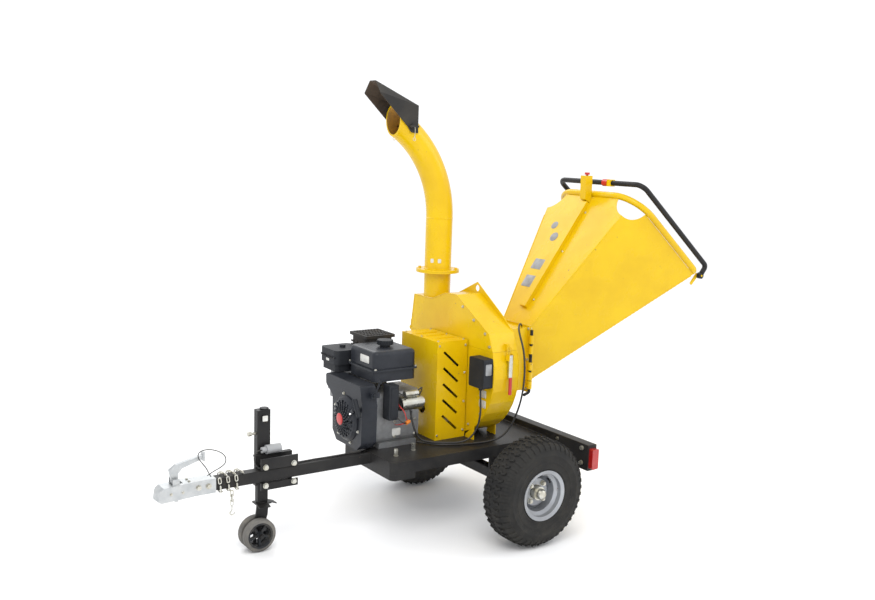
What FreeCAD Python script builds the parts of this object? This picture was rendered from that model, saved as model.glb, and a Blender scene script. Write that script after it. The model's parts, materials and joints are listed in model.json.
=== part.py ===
import FreeCAD, Part
import os
from math import atan2, cos, hypot, pi, radians, sin, sqrt, tan

# Trailer-mounted disc wood chipper, in millimetres.
# +X points to the rear (hopper), +Y to the trailer's right-hand side, +Z up, and the ground is z = 0.
# The functions work from the axle: x = 0 is the axle line and y = 0 the trailer's middle plane.
# save() moves each finished piece by AXLE_X, so that the origin is under the middle of the whole machine.

V = FreeCAD.Vector
AXLE_X = 156.7

# wheels, 19x7-8 tyres on 8-inch rims
TYRE_R = 245.0
TYRE_W = 172.0
WHEEL_Y = 472.0
BEAD_R = 101.6
SPINDLE_R = 16.0
RUN_FIT = 0.05

# chassis
TRAY_X0, TRAY_X1 = -586.0, 285.0
TRAY_Y = 220.0
TRAY_TOP = 387.0
SHEET = 4.0
BAR_SIZE = 50.0
BAR_TOP = TRAY_TOP - SHEET
BAR_NOSE_X = -1312.0
BEAM_X0, BEAM_X1 = 285.0, 337.0
BEAM_Y = 510.0
BEAM_Z0, BEAM_Z1 = 299.0, 421.0

# jack and twin jockey wheels, on the right of the drawbar
JACK_X, JACK_Y = -1065.0, 70.0
JACK_TOP = 622.0
CASTER_R = 73.0
CASTER_X = JACK_X - 22.0
CASTER_W = 34.0

# disc rotor, its casing and the engine shaft below and ahead of it
ROTOR_Y, ROTOR_Z = 95.0, 716.0
CRANK_Z = 522.0
CASE_X0, CASE_X1 = -58.0, 85.0
CASE_R = 326.0
CASE_R_FAR = 382.0
SPLIT_Z = 828.0
DISC_R = 278.0
SHAFT_R = 20.0

# chute
CHUTE_X, CHUTE_Y = 13.5, 357.0
CHUTE_R = 66.5
CHUTE_BORE = 59.0
FLANGE_Z = 1138.0
FLANGE_R = 108.0
BEND_Z = 1400.0
BEND_R = 526.0
CHUTE_END_X = -270.0
DEFLECTOR_PIVOT = V(-205, CHUTE_Y, 1840)

# hopper: a four-sided funnel, its mouth tilted back
MOUTH_W = 301.0
MOUTH_LOW = V(1171.5, 0, 1154.6)
MOUTH_HIGH = V(708.2, 0, 1539.6)
THROAT_X = 248.0
THROAT_LOW = 603.0
THROAT_HIGH, THROAT_HIGH_W = 911.0, 107.0
RIM_R = 16.0
SAFETY_R = 13.0
TUBE_WALL = 2.5
HINGE_X, HINGE_Y = 241.0, -126.0


def throat_low_width():
    """The throat's half width at its foot, where the flat side panels run into it."""
    slope = (MOUTH_HIGH - MOUTH_LOW).normalize()
    depth = [((V(THROAT_X, 0, z) - MOUTH_LOW) - slope * (V(THROAT_X, 0, z) - MOUTH_LOW).dot(slope)).Length
             for z in (THROAT_LOW, THROAT_HIGH)]
    return MOUTH_W - (MOUTH_W - THROAT_HIGH_W) * depth[0] / depth[1]


THROAT_LOW_W = throat_low_width()


# ---------------------------------------------------------------- small helpers
def box(x0, x1, y0, y1, z0, z1):
    return Part.makeBox(x1 - x0, y1 - y0, z1 - z0, V(x0, y0, z0))


def rod(start, end, radius):
    start, end = V(*start), V(*end)
    return Part.makeCylinder(radius, (end - start).Length, start, end - start)


def ring(start, end, outer, inner):
    return rod(start, end, outer).cut(rod(start, end, inner))


def plate(points, direction):
    """A flat polygon pushed along direction."""
    face = Part.Face(Part.makePolygon([V(*p) for p in points] + [V(*points[0])]))
    return face.extrude(V(*direction))


def turned(profile, centre, axis=(0, 1, 0), angle=360.0, start=0.0):
    """A closed (radius, along) outline turned about an axis through centre, along +Y or +Z or +X."""
    wire = Part.makePolygon([V(r, 0, a) for r, a in profile] + [V(profile[0][0], 0, profile[0][1])])
    solid = Part.Face(wire).revolve(V(0, 0, 0), V(0, 0, 1), angle)
    solid.rotate(V(0, 0, 0), V(0, 0, 1), start)
    stand = FreeCAD.Placement(V(*centre), FreeCAD.Rotation(V(0, 0, 1), V(*axis)))
    solid.Placement = stand.multiply(solid.Placement)
    return solid


def bolt(base, axis, radius, height):
    """A hexagon head on a round washer, standing on a surface."""
    axis = V(*axis)
    washer = Part.makeCylinder(radius * 1.9, 2.0, V(*base), axis)
    hexagon = [V(radius * 1.6 * cos(pi * k / 3), radius * 1.6 * sin(pi * k / 3), 0) for k in range(7)]
    head = Part.Face(Part.makePolygon(hexagon)).extrude(V(0, 0, height))
    head.Placement = FreeCAD.Placement(V(*base) + axis * 2.0, FreeCAD.Rotation(V(0, 0, 1), axis))
    return washer.fuse(head)


def rounded(shape, radius, choose):
    edges = [e for e in shape.Edges if choose(e)]
    return shape.makeFillet(radius, edges)


def along(axis):
    """Picks the straight edges that run along X, Y or Z (0, 1 or 2)."""
    def choose(edge):
        ends = [v.Point for v in edge.Vertexes]
        if len(ends) != 2:
            return False
        span = ends[1] - ends[0]
        size = [abs(span.x), abs(span.y), abs(span.z)]
        return size[axis] > 1.0 and sum(size) - size[axis] < 0.001
    return choose


def pipe_path(points, bend=None):
    """Straight runs joined by tangent arcs. Without a bend radius each arc is as large as its runs allow."""
    points = [V(*p) for p in points]
    edges, here, radii = [], points[0], []
    for before, corner, after in zip(points, points[1:], points[2:]):
        back, ahead = before - corner, after - corner
        turn = pi - back.getAngle(ahead)
        cut = 0.45 * min(back.Length, ahead.Length)
        if bend:
            cut = min(cut, bend * tan(turn / 2))
        radii.append(cut / tan(turn / 2))
        back.normalize()
        ahead.normalize()
        first, last = corner + back * cut, corner + ahead * cut
        middle = corner + (back + ahead).normalize() * (radii[-1] / cos(turn / 2) - radii[-1])
        edges.append(Part.LineSegment(here, first).toShape())
        edges.append(Part.Arc(first, middle, last).toShape())
        here = last
    edges.append(Part.LineSegment(here, points[-1]).toShape())
    return Part.Wire(edges), radii


def pipe(points, radius, bend=None, bore=0.0):
    wire, radii = pipe_path(points, bend)
    start, way = V(*points[0]), V(*points[1]) - V(*points[0])
    solid = swept(wire, start, way, radius)
    if bore:
        solid = solid.cut(swept(wire, start, way, bore))
    return solid, radii, wire.Length


def swept(wire, start, way, radius):
    circle = Part.Wire(Part.Circle(start, way, radius).toShape())
    return wire.makePipeShell([circle], True, True)


def offset_outline(points, thickness):
    """The inner outline of a sheet bent along a counter-clockwise (y, z) outline, with mitred corners."""
    inner, count = [], len(points)
    for k, (py, pz) in enumerate(points):
        ways = []
        for a, b in ((k - 1, k), (k, k + 1)):
            if a < 0 or b >= count:
                continue
            dy, dz = points[b][0] - points[a][0], points[b][1] - points[a][1]
            size = hypot(dy, dz)
            ways.append((-dz / size, dy / size))
        ny, nz = sum(w[0] for w in ways), sum(w[1] for w in ways)
        size = hypot(ny, nz)
        ny, nz = ny / size, nz / size
        stretch = thickness / (ny * ways[0][0] + nz * ways[0][1])
        inner.append((py + ny * stretch, pz + nz * stretch))
    return inner


def sheet_strips(outer, thickness, x0, x1):
    """One flat plate for each side of an open outline in the YZ plane."""
    inner = offset_outline(outer, thickness)
    strips = []
    for k in range(len(outer) - 1):
        quad = [outer[k], outer[k + 1], inner[k + 1], inner[k]]
        strips.append(plate([(x0, y, z) for y, z in quad], (x1 - x0, 0, 0)))
    return strips


def sectors(shape, centre, axis, count, reach=400.0):
    """Cuts a round shell into equal sectors about an axis."""
    side = V(0, 0, 1) if abs(axis.z) < 0.5 else V(1, 0, 0)
    other = axis.cross(side)
    centre = V(*centre)
    slices = []
    for k in range(count):
        ways = [side * cos(a) + other * sin(a) for a in (2 * pi * k / count, 2 * pi * (k + 1) / count)]
        corners = [centre, centre + ways[0] * reach, centre + ways[1] * reach]
        face = Part.Face(Part.makePolygon([c - axis * reach for c in corners + corners[:1]]))
        slices.append(shape.common(face.extrude(axis * (2 * reach))))
    return slices


def save(name, *shapes):
    shape = Part.makeCompound(list(shapes)) if len(shapes) > 1 else shapes[0]
    shape = shape.copy()
    shape.translate(V(AXLE_X, 0, 0))
    shape.exportStep("parts/" + name + ".step")
    print(name, len(shape.Solids), "solids", round(shape.Volume / 1000.0, 1), "cm3", shape.isValid())


# ---------------------------------------------------------------- chassis
def square_tube(x0, x1, y0, y1, z0, z1, wall, axis):
    outer = rounded(box(x0, x1, y0, y1, z0, z1), 4.0, along(axis))
    shrink = [wall, wall, wall]
    shrink[axis] = 0.0
    a, b, c = shrink
    return outer.cut(box(x0 + a, x1 - a, y0 + b, y1 - b, z0 + c, z1 - c))


def drawbar():
    half = BAR_SIZE / 2
    return square_tube(BAR_NOSE_X, -60, -half, half, BAR_TOP - BAR_SIZE, BAR_TOP, SHEET, 0)


def base_tray():
    """A folded sheet tray with a skirt, and the round-cornered box under its front end."""
    skirt_z = BAR_TOP - BAR_SIZE
    corner = 28.0
    outer = box(TRAY_X0, TRAY_X1 - 0.2, -TRAY_Y, TRAY_Y, skirt_z, TRAY_TOP)
    front = [e for e in outer.Edges if along(2)(e) and e.Vertexes[0].X < TRAY_X0 + 1]
    outer = outer.makeFillet(corner, front)
    inner = box(TRAY_X0 + SHEET, TRAY_X1 - SHEET, -TRAY_Y + SHEET, TRAY_Y - SHEET, skirt_z, BAR_TOP)
    front = [e for e in inner.Edges if along(2)(e) and e.Vertexes[0].X < TRAY_X0 + 10]
    tray = outer.cut(inner.makeFillet(corner - SHEET, front))
    half = BAR_SIZE / 2 + 0.3
    tray = tray.cut(box(TRAY_X0 - 1, TRAY_X0 + 20, -half, half, skirt_z - 1, BAR_TOP))
    floor = tray.common(box(-700, 400, -300, 300, BAR_TOP, TRAY_TOP))
    inside = TRAY_Y - SHEET
    skirts = [tray.common(box(x0, x1, y0, y1, skirt_z, BAR_TOP)) for x0, x1, y0, y1 in
              ((-700, 400, -300, -inside), (-700, 400, inside, 300), (-700, -500, -inside, -half),
               (-700, -500, half, inside), (200, 400, -inside, inside))]
    sump = box(TRAY_X0, TRAY_X0 + 120, -TRAY_Y, TRAY_Y, skirt_z - 27, skirt_z - 0.2)
    front = [e for e in sump.Edges if along(2)(e) and e.Vertexes[0].X < TRAY_X0 + 1]
    return [floor] + skirts + [sump.makeFillet(corner, front)]


def axle_beam():
    """The beam with its two spindles, the cross member over it and four hanger plates between them."""
    half = BAR_SIZE / 2
    low = TYRE_R - half
    beam = square_tube(-half, half, -372, 372, low, low + BAR_SIZE, 5.0, 1)
    spindles = []
    for side in (-1, 1):
        spindle = rod((0, side * 372, TYRE_R), (0, side * 524, TYRE_R), SPINDLE_R)
        stop = rod((0, side * 372, TYRE_R), (0, side * 386, TYRE_R), 30.0)
        spindles.append(spindle.fuse(stop))
    cross = square_tube(-59.5, 30, -TRAY_Y + SHEET + 0.2, TRAY_Y - SHEET - 0.2,
                        BAR_TOP - BAR_SIZE, BAR_TOP - 0.2, SHEET, 1)
    hangers = [box(-35, 28, y - 5, y + 5, low + BAR_SIZE, BAR_TOP - BAR_SIZE) for y in (-190, -60, 60, 190)]
    return [beam, cross] + spindles + hangers


def rear_beam():
    beam = square_tube(BEAM_X0, BEAM_X1, -BEAM_Y, BEAM_Y, BEAM_Z0, BEAM_Z1, SHEET, 1)
    caps = [box(BEAM_X0 + SHEET, BEAM_X1 - SHEET, y, y + 3, BEAM_Z0 + SHEET, BEAM_Z1 - SHEET)
            for y in (-BEAM_Y, BEAM_Y - 3)]
    return [beam] + caps


def tail_lights():
    lights = []
    for side in (-1, 1):
        y0, y1 = sorted((side * (BEAM_Y + 0.2), side * (BEAM_Y + 24)))
        lights.append(rounded(box(BEAM_X0 + 8, BEAM_X1 - 6, y0, y1, 311, 405), 6.0, along(1)))
    return lights


def bright_bolts():
    """The bare bolts: rear beam, tray, coupling sleeve and jack clamp."""
    bolts = []
    for side in (-1, 1):
        for x, z in ((BEAM_X0, 400), (BEAM_X0, 330)):
            bolts.append(bolt((x, side * 470, z), (-1, 0, 0), 6, 8))
        bolts.append(bolt((BEAM_X0, side * 300, 400), (-1, 0, 0), 5, 6))
    for x, y in ((-512, -128), (-397, -92)):
        bolts.append(bolt((x, y, TRAY_TOP), (0, 0, 1), 6, 30))
    for x in (-1386, -1344):
        bolts.append(bolt((x, -31.2, 360), (0, -1, 0), 6, 8))
        bolts.append(bolt((x, 31.2, 360), (0, 1, 0), 6, 8))
    for x in JACK_BOLTS_X:
        for z in JACK_BOLTS_Z:
            bolts.append(bolt((x, -33, z), (0, -1, 0), 6.5, 8))
    return bolts


# ---------------------------------------------------------------- coupling, chain and breakaway wire
LEVER_X, LEVER_Z = -1476.0, 396.0
BALL_X = -1520.0
BALL_R = 25.5
JAW_PIN_X, JAW_PIN_Z, JAW_PIN_R = -1474.5, 357.0, 2.0
CHAIN_X0 = -1300.0


def coupling_body():
    """A pressed-steel coupling: a sleeve on the drawbar's end and a tapering nose over the ball."""
    sleeve = box(-1408, BAR_NOSE_X - 0.3, -31, 31, 327, 388)
    side = [(-1408, 0, 327), (-1408, 0, 388), (-1530, 0, 380), (-1562, 0, 356), (-1566, 0, 338), (-1540, 0, 320)]
    nose = plate([(x, -34, z) for x, y, z in side], (0, 68, 0))
    nose = nose.common(turned([(0, 300), (62, 300), (46, 400), (0, 400)], (BALL_X + 16, 0, 0), (0, 0, 1))
                       .fuse(box(-1500, -1400, -34, 34, 300, 400)))
    body = sleeve.fuse(nose)
    body = body.cut(box(-1440, -1300, -26, 26, 331, 384))
    body = body.cut(box(BALL_X + BALL_R + 7, -1439, -12, 12, 328, 366))
    body = body.cut(Part.makeSphere(BALL_R, V(BALL_X, 0, 346)))
    body = body.cut(rod((BALL_X, 0, 300), (BALL_X, 0, 346), BALL_R))
    body = body.cut(box(LEVER_X - 14, LEVER_X + 30, -15, 15, 372, 420))
    ears = [box(LEVER_X - 14, LEVER_X + 14, y, y + 5, 378, LEVER_Z + 12) for y in (-25, 20)]
    pin = rod((LEVER_X, -25, LEVER_Z), (LEVER_X, 25, LEVER_Z), 5)
    body = body.fuse(ears[0]).fuse(ears[1]).fuse(pin)
    stop = bolt((-1468, 0, 327 - 9), (0, 0, -1), 5, 8)
    body = body.cut(box(-1480, -1440, -12, 12, 325, 331))
    body = body.fuse(rod((JAW_PIN_X, -14, JAW_PIN_Z), (JAW_PIN_X, 14, JAW_PIN_Z), JAW_PIN_R))
    return [body, stop.common(box(-1500, -1400, -30, 30, 290, 326))]


def coupling_lever():
    """The lifting lever: a pierced web that rises from its pivot to a grip with a turned-up end."""
    web = plate([(LEVER_X - 11, -9, LEVER_Z - 8), (LEVER_X + 12, -9, LEVER_Z - 8), (LEVER_X + 14, -9, LEVER_Z + 30),
                 (LEVER_X + 30, -9, LEVER_Z + 48), (LEVER_X + 118, -9, LEVER_Z + 76),
                 (LEVER_X + 118, -9, LEVER_Z + 92), (LEVER_X + 4, -9, LEVER_Z + 66),
                 (LEVER_X - 22, -9, LEVER_Z + 46)], (0, 18, 0))
    grip_end = rounded(box(LEVER_X + 116, LEVER_X + 124, -15, 15, LEVER_Z + 66, LEVER_Z + 104), 5, along(0))
    lever = web.fuse(grip_end)
    return lever.cut(rod((LEVER_X, -12, LEVER_Z), (LEVER_X, 12, LEVER_Z), 5 + RUN_FIT))


def ball_latch():
    """The jaw that closes behind the ball, on a pin of its own under the lever."""
    x = BALL_X + BALL_R + 20
    jaw = box(x - 11, x + 5, -11, 11, 333, 362)
    return jaw.cut(rod((JAW_PIN_X, -12, JAW_PIN_Z), (JAW_PIN_X, 12, JAW_PIN_Z), JAW_PIN_R + RUN_FIT))


def chain_link(centre, along_way, flat_way, wire=3.0, half=9.5, width=6.5):
    """One oval link: two straights and two half rounds."""
    along_way, flat_way = V(*along_way), V(*flat_way)
    along_way.normalize()
    flat_way.normalize()
    centre = V(*centre)
    a, b = along_way * half, flat_way * width
    left, right = Part.LineSegment(centre - a + b, centre + a + b), Part.LineSegment(centre + a - b, centre - a - b)
    top = Part.Arc(centre + a + b, centre + a + along_way * width, centre + a - b)
    bottom = Part.Arc(centre - a - b, centre - a - along_way * width, centre - a + b)
    path = Part.Wire([s.toShape() for s in (left, top, right, bottom)])
    circle = Part.Wire(Part.Circle(centre + b, along_way, wire).toShape())
    return path.makePipeShell([circle], True, True)


def safety_chain():
    """Two turns of chain lying round the drawbar, with the last links and the hook hanging down."""
    links = []
    gap = BAR_SIZE / 2 + 8.7
    middle_z = BAR_TOP - BAR_SIZE / 2
    corner = [(-gap, gap), (-gap, -gap), (gap, -gap), (gap, gap)]
    for turn in range(3):
        for side in range(4):
            (y0, z0), (y1, z1) = corner[side], corner[(side + 1) % 4]
            for step in (0.25, 0.75):
                x = CHAIN_X0 + 36 * (turn + (side + step) / 4)
                y, z = y0 + (y1 - y0) * step, z0 + (z1 - z0) * step
                way = V(9, y1 - y0, z1 - z0)
                outward = V(0, y0 + y1, z0 + z1)
                flat = V(0, 0, 0) + way.cross(outward)
                if step > 0.5:
                    flat = flat.normalize() * 0.5 + outward.normalize() * 0.8
                links.append(chain_link((x, y, middle_z + z), way, flat, 2.6, 7.0, 5.6))
    return links


def chain_hook():
    """The last hanging links and the open hook below them."""
    x, y = CHAIN_X0 + 50, -BAR_SIZE / 2 - 20
    pieces = [chain_link((x, y, 316 - 19 * k), (0, 0, 1), (1 - k % 2, k % 2, 0), 2.6, 8.0, 5.6) for k in range(3)]
    hook, radii, length = pipe([(x, y, 262), (x, y, 246), (x - 12, y, 232), (x + 2, y, 222), (x + 14, y, 234)],
                               3.0, 9)
    return pieces + [hook]


BREAKAWAY = [(-1330, -20, 394), (-1341, -24, 412), (-1352, -26, 436), (-1372, -26, 462), (-1388, -26, 486),
             (-1384, -27, 508), (-1352, -25, 514), (-1316, -16, 504), (-1284, -10, 488), (-1262, -10, 466),
             (-1266, -20, 442), (-1294, -28, 428), (-1326, -34, 420), (-1352, -38, 408)]
PLUG_CABLE = [(-1086.3, 29, 455.2), (-1108, 29, 455.2), (-1124, 20, 436), (-1128, 4, 411), (-1122, -8, 394),
              (-1100, -12, 387.6), (-1062, -8, 386.8), (-1002, 2, 387), (-930, -6, 386.8), (-850, 6, 387),
              (-768, -4, 386.8), (-690, 5, 387), (-620, -2, 386.8)]
CABLE_R = 3.2


def light_plug():
    """The trailer-light plug lying on the jack bracket: a grey shell and its black collar."""
    y, z = 29, BAR_TOP + BRACKET_RISE + 20.2
    collar = rod((-1086, y, z), (-1066, y, z), 13)
    return [collar, rod((-1066, y, z), (-1000, y, z), 20)]


# ---------------------------------------------------------------- jack
JACK_BOLTS_X = (JACK_X - 30, JACK_X + 100)
JACK_BOLTS_Z = (BAR_TOP - BAR_SIZE - 14, BAR_TOP + 16)
BRACKET_RISE = 52.0


def jack_bracket():
    """Clamp plates on both sides of the drawbar and a saddle behind them that holds the jack tube."""
    x0, x1 = JACK_X - 50, JACK_X + 120
    low, high = BAR_TOP - BAR_SIZE - 30, BAR_TOP + BRACKET_RISE
    half = BAR_SIZE / 2
    pieces = [box(x0, x1, half + 0.2, half + 8, low, high)]
    pieces.append(box(x0, x1, -33, -half - 0.2, BAR_TOP + 4, high))
    pieces.append(box(x0, x1, -33, -half - 0.2, low - 4, BAR_TOP - BAR_SIZE - 4))
    pieces.append(box(x0, x1, half + 8, 49.8, low, low + 8))
    pieces.append(box(x0, x1, half + 8, 49.8, high - 8, high))
    for x in JACK_BOLTS_X:
        for z in JACK_BOLTS_Z:
            pieces.append(rod((x, -half - 0.2, z), (x, half + 0.2, z), 6))
    return pieces


def jack_tube():
    """The outer rectangular tube and the round cap on its top."""
    tube = square_tube(JACK_X - 30, JACK_X + 30, JACK_Y - 20, JACK_Y + 20, 312, JACK_TOP, 3.5, 2)
    tube = tube.cut(rod((JACK_X - 40, JACK_Y, 520), (JACK_X - 20, JACK_Y, 520), 6 + RUN_FIT))
    lid = box(JACK_X - 26.3, JACK_X + 26.3, JACK_Y - 16.3, JACK_Y + 16.3, JACK_TOP - 5, JACK_TOP)
    cap = rod((JACK_X + 8, JACK_Y, JACK_TOP), (JACK_X + 8, JACK_Y, JACK_TOP + 6), 19)
    return [tube, lid.fuse(cap)]


def jack_pin():
    pin = rod((JACK_X - 52, JACK_Y, 520), (JACK_X - 27, JACK_Y, 520), 6)
    knob = rod((JACK_X - 66, JACK_Y, 520), (JACK_X - 52, JACK_Y, 520), 10)
    return pin.fuse(knob)


LEG_FOOT_Z = 218.0


def jack_leg():
    leg = square_tube(JACK_X - 26, JACK_X + 22, JACK_Y - 16, JACK_Y + 16, LEG_FOOT_Z, 480, 3.0, 2)
    foot = rod((JACK_X, JACK_Y, LEG_FOOT_Z - 6), (JACK_X, JACK_Y, LEG_FOOT_Z), 24)
    pin = rod((JACK_X, JACK_Y, LEG_FOOT_Z - 12.2), (JACK_X, JACK_Y, LEG_FOOT_Z - 6), 8)
    return [leg, foot.fuse(pin)]


def caster_fork():
    """The swivel plate with its turned-up brake flaps, two cheeks and the axle bolt."""
    top = LEG_FOOT_Z - 6.4
    plate_box = box(JACK_X - 34, JACK_X + 34, JACK_Y - 26, JACK_Y + 26, top - 6, top)
    plate_box = plate_box.cut(rod((JACK_X, JACK_Y, top - 8), (JACK_X, JACK_Y, top + 1), 8 + RUN_FIT))
    flap_near = plate([(JACK_X - 34, JACK_Y - 26, top), (JACK_X - 34, JACK_Y - 26, top - 4),
                       (JACK_X - 34, JACK_Y - 52, top - 12), (JACK_X - 34, JACK_Y - 52, top - 8)], (52, 0, 0))
    flap_rear = plate([(JACK_X + 34, JACK_Y - 20, top), (JACK_X + 34, JACK_Y - 20, top - 4),
                       (JACK_X + 62, JACK_Y - 20, top - 14), (JACK_X + 62, JACK_Y - 20, top - 10)], (0, 40, 0))
    web = plate([(JACK_X - 22, JACK_Y - 5, top - 6), (JACK_X + 30, JACK_Y - 5, top - 6),
                 (JACK_X + 26, JACK_Y - 5, top - 60), (CASTER_X + 18, JACK_Y - 5, CASTER_R - 14),
                 (CASTER_X - 16, JACK_Y - 5, CASTER_R - 12), (CASTER_X - 14, JACK_Y - 5, CASTER_R + 20)], (0, 10, 0))
    y0, y1 = JACK_Y - 6 - CASTER_W - 8, JACK_Y + 6 + CASTER_W + 8
    axle = rod((CASTER_X, y0, CASTER_R), (CASTER_X, y1, CASTER_R), 6)
    heads = [bolt((CASTER_X, y0, CASTER_R), (0, -1, 0), 6, 6), bolt((CASTER_X, y1, CASTER_R), (0, 1, 0), 6, 6)]
    fork = plate_box.fuse(flap_near).fuse(flap_rear).fuse(web).fuse(axle)
    return [fork] + heads


def caster_wheel(side):
    """A moulded spoked hub and its grey tyre."""
    inner = JACK_Y + side * 7
    outer = JACK_Y + side * (7 + CASTER_W)
    low, high = sorted((inner, outer))
    rim = ring((CASTER_X, low, CASTER_R), (CASTER_X, high, CASTER_R), CASTER_R - 16, CASTER_R - 24)
    hub = ring((CASTER_X, low, CASTER_R), (CASTER_X, high, CASTER_R), 15, 6 + RUN_FIT)
    spokes = []
    for k in range(5):
        spoke = box(CASTER_X + 13, CASTER_X + CASTER_R - 22, low + 10, high - 10, CASTER_R - 5, CASTER_R + 5)
        spoke.rotate(V(CASTER_X, 0, CASTER_R), V(0, 1, 0), 72 * k + 18)
        spokes.append(spoke)
    wheel = rim.fuse(hub).fuse(spokes)
    crown = CASTER_R
    tread = [(crown - 15.8, 0), (crown - 4, 1), (crown, 7), (crown, CASTER_W - 7), (crown - 4, CASTER_W - 1),
             (crown - 15.8, CASTER_W)]
    return wheel, turned(tread, (CASTER_X, low, CASTER_R), (0, 1, 0))


# ---------------------------------------------------------------- road wheels
def tyre(side):
    """A balloon tyre: crown, round shoulders, bulging walls and two beads, hollow inside."""
    half = TYRE_W / 2
    outer = [(BEAD_R, 71), (BEAD_R + 9, 71.5), (BEAD_R + 16, 78), (150, half - 3), (186, half), (214, half - 4),
             (232, half - 14), (241, half - 32), (TYRE_R, 20)]
    inner = [(BEAD_R, 58), (BEAD_R + 16, 62), (150, half - 12), (190, half - 9), (218, half - 16), (228, half - 34),
             (231, 20)]
    profile = outer + [(r, -a) for r, a in reversed(outer)]
    cavity = inner + [(r, -a) for r, a in reversed(inner)]
    centre = (0, side * WHEEL_Y, TYRE_R)
    return turned(profile, centre, (0, 1, 0)).cut(turned(cavity, centre, (0, 1, 0)))


def rim(side):
    """A pressed rim: flanges, bead seats, a dropped well and a dished centre disc with round holes."""
    centre = (0, side * WHEEL_Y, TYRE_R)
    barrel = [(BEAD_R + 13, 80), (BEAD_R + 13, 76), (BEAD_R - 0.3, 71.5), (BEAD_R - 0.3, 50), (86, 42), (86, -42),
              (BEAD_R - 0.3, -50), (BEAD_R - 0.3, -71.5), (BEAD_R + 13, -76), (BEAD_R + 13, -80),
              (BEAD_R - 3.3, -74), (BEAD_R - 3.3, -52), (82.5, -44), (82.5, 44), (BEAD_R - 3.3, 52),
              (BEAD_R - 3.3, 74)]
    disc = [(34, 20), (62, 20), (74, 6), (82.4, 2), (82.4, -2), (72, 2), (60, 15), (34, 15)]
    disc = [(r, side * a) for r, a in disc]
    dish = turned(disc, centre, (0, 1, 0))
    for k in range(4):
        angle = pi / 4 + k * pi / 2
        x, z = 50 * cos(angle), TYRE_R + 50 * sin(angle)
        dish = dish.cut(rod((x, side * WHEEL_Y - 40, z), (x, side * WHEEL_Y + 40, z), 6.2))
    return [turned(barrel, centre, (0, 1, 0), 45, 45 * k) for k in range(8)] + [dish]


def hub(side):
    """The greased hub: barrel, bolt flange, four studs with nuts, and the domed cap."""
    def at(offset):
        return (0, side * (WHEEL_Y + offset), TYRE_R)
    barrel = rod(at(-64), at(44), 31)
    flange = rod(at(3), at(14.6), 57)
    body = barrel.fuse(flange)
    body = body.cut(rod(at(-70), at(53), SPINDLE_R + RUN_FIT))
    cap_profile = [(0, 44.2), (24, 44.2), (24, 60), (20, 68), (12, 73), (0, 75)]
    cap = turned([(r, side * a) for r, a in cap_profile], at(0), (0, 1, 0))
    cap = cap.cut(rod(at(40), at(54), SPINDLE_R + 3))
    studs = []
    for k in range(4):
        angle = pi / 4 + k * pi / 2
        x, z = 50 * cos(angle), TYRE_R + 50 * sin(angle)
        stud = rod((x, side * (WHEEL_Y + 14.6), z), (x, side * (WHEEL_Y + 38), z), 6)
        nut = bolt((x, side * (WHEEL_Y + 20.2), z), (0, side, 0), 6.4, 11)
        studs.append(stud.fuse(nut))
    return [body, cap] + studs


# ---------------------------------------------------------------- engine
def engine_block():
    """Crankcase with feet, an output boss towards the belts, and the sloping finned cylinder."""
    case = rounded(box(-560, -310, 5, 195, 408, 640), 22, along(0))
    feet = [box(-530, -330, y, y + 60, TRAY_TOP, 412) for y in (-8, 148)]
    boss = ring((-310, ROTOR_Y, CRANK_Z), (-286, ROTOR_Y, CRANK_Z), 46, 12.5 + RUN_FIT)
    case = case.cut(rod((-345, ROTOR_Y, CRANK_Z), (-300, ROTOR_Y, CRANK_Z), 12.5 + RUN_FIT))
    fins = []
    for k in range(7):
        y = 195 + 14 * k
        fins.append(box(-540, -370, y, y + 7, 520 - k, 672))
    core = box(-520, -390, 190, 300, 540, 655)
    head = box(-540, -370, 293, 330, 512, 676)
    return [case.fuse(feet + [boss]), core.fuse([head] + fins).cut(case)]


def engine_shroud():
    """The fan housing: a round drum that widens upwards and leans over the cylinder."""
    outline = [(-38, 430), (0, 396), (190, 396), (228, 440), (232, 600), (296, 640), (300, 692), (-20, 692),
               (-42, 600)]
    outer = plate([(-640, y, z) for y, z in outline], (78, 0, 0))
    outer = rounded(outer, 16, along(0))
    inner = rod((-637, ROTOR_Y, CRANK_Z), (-561, ROTOR_Y, CRANK_Z), 118)
    opening = rod((-645, ROTOR_Y, CRANK_Z), (-630, ROTOR_Y, CRANK_Z), 84)
    return outer.cut(inner).cut(opening)


def recoil_cover():
    """The pull-starter cover: a slotted dome with a round boss."""
    centre = (-640.3, ROTOR_Y, CRANK_Z)
    dome = turned([(0, 0), (102, 0), (102, 6), (92, 16), (60, 26), (0, 30)], centre, (-1, 0, 0))
    hollow = turned([(0, -1), (82, -1), (86, 6), (58, 20), (0, 24)], centre, (-1, 0, 0))
    dome = dome.cut(hollow)
    for k in range(12):
        slot = box(-680, -642, -5, 5, 46, 84)
        slot.rotate(V(0, 0, 0), V(1, 0, 0), 30 * k)
        slot.translate(V(0, ROTOR_Y, CRANK_Z))
        dome = dome.cut(slot)
    boss = ring((-676, ROTOR_Y, CRANK_Z), (-668, ROTOR_Y, CRANK_Z), 32, 6)
    guide = ring((-662, ROTOR_Y - 88, CRANK_Z + 52), (-662, ROTOR_Y - 108, CRANK_Z + 64), 11, 5)
    return [dome, boss.cut(dome), guide.cut(dome)]


HANDLE_WAY = V(0, -20, 12).normalize()


def recoil_handle():
    """The pull grip across the end of its rope guide."""
    start = V(-662, ROTOR_Y - 108, CRANK_Z + 64) + HANDLE_WAY * 0.4
    neck = rod(tuple(start), tuple(start + HANDLE_WAY * 16), 8)
    middle = start + HANDLE_WAY * 24
    across = V(1, 0, 0).cross(HANDLE_WAY) * 42
    grip = rod(tuple(middle - across), tuple(middle + across), 11)
    return neck.fuse(grip)


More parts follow.
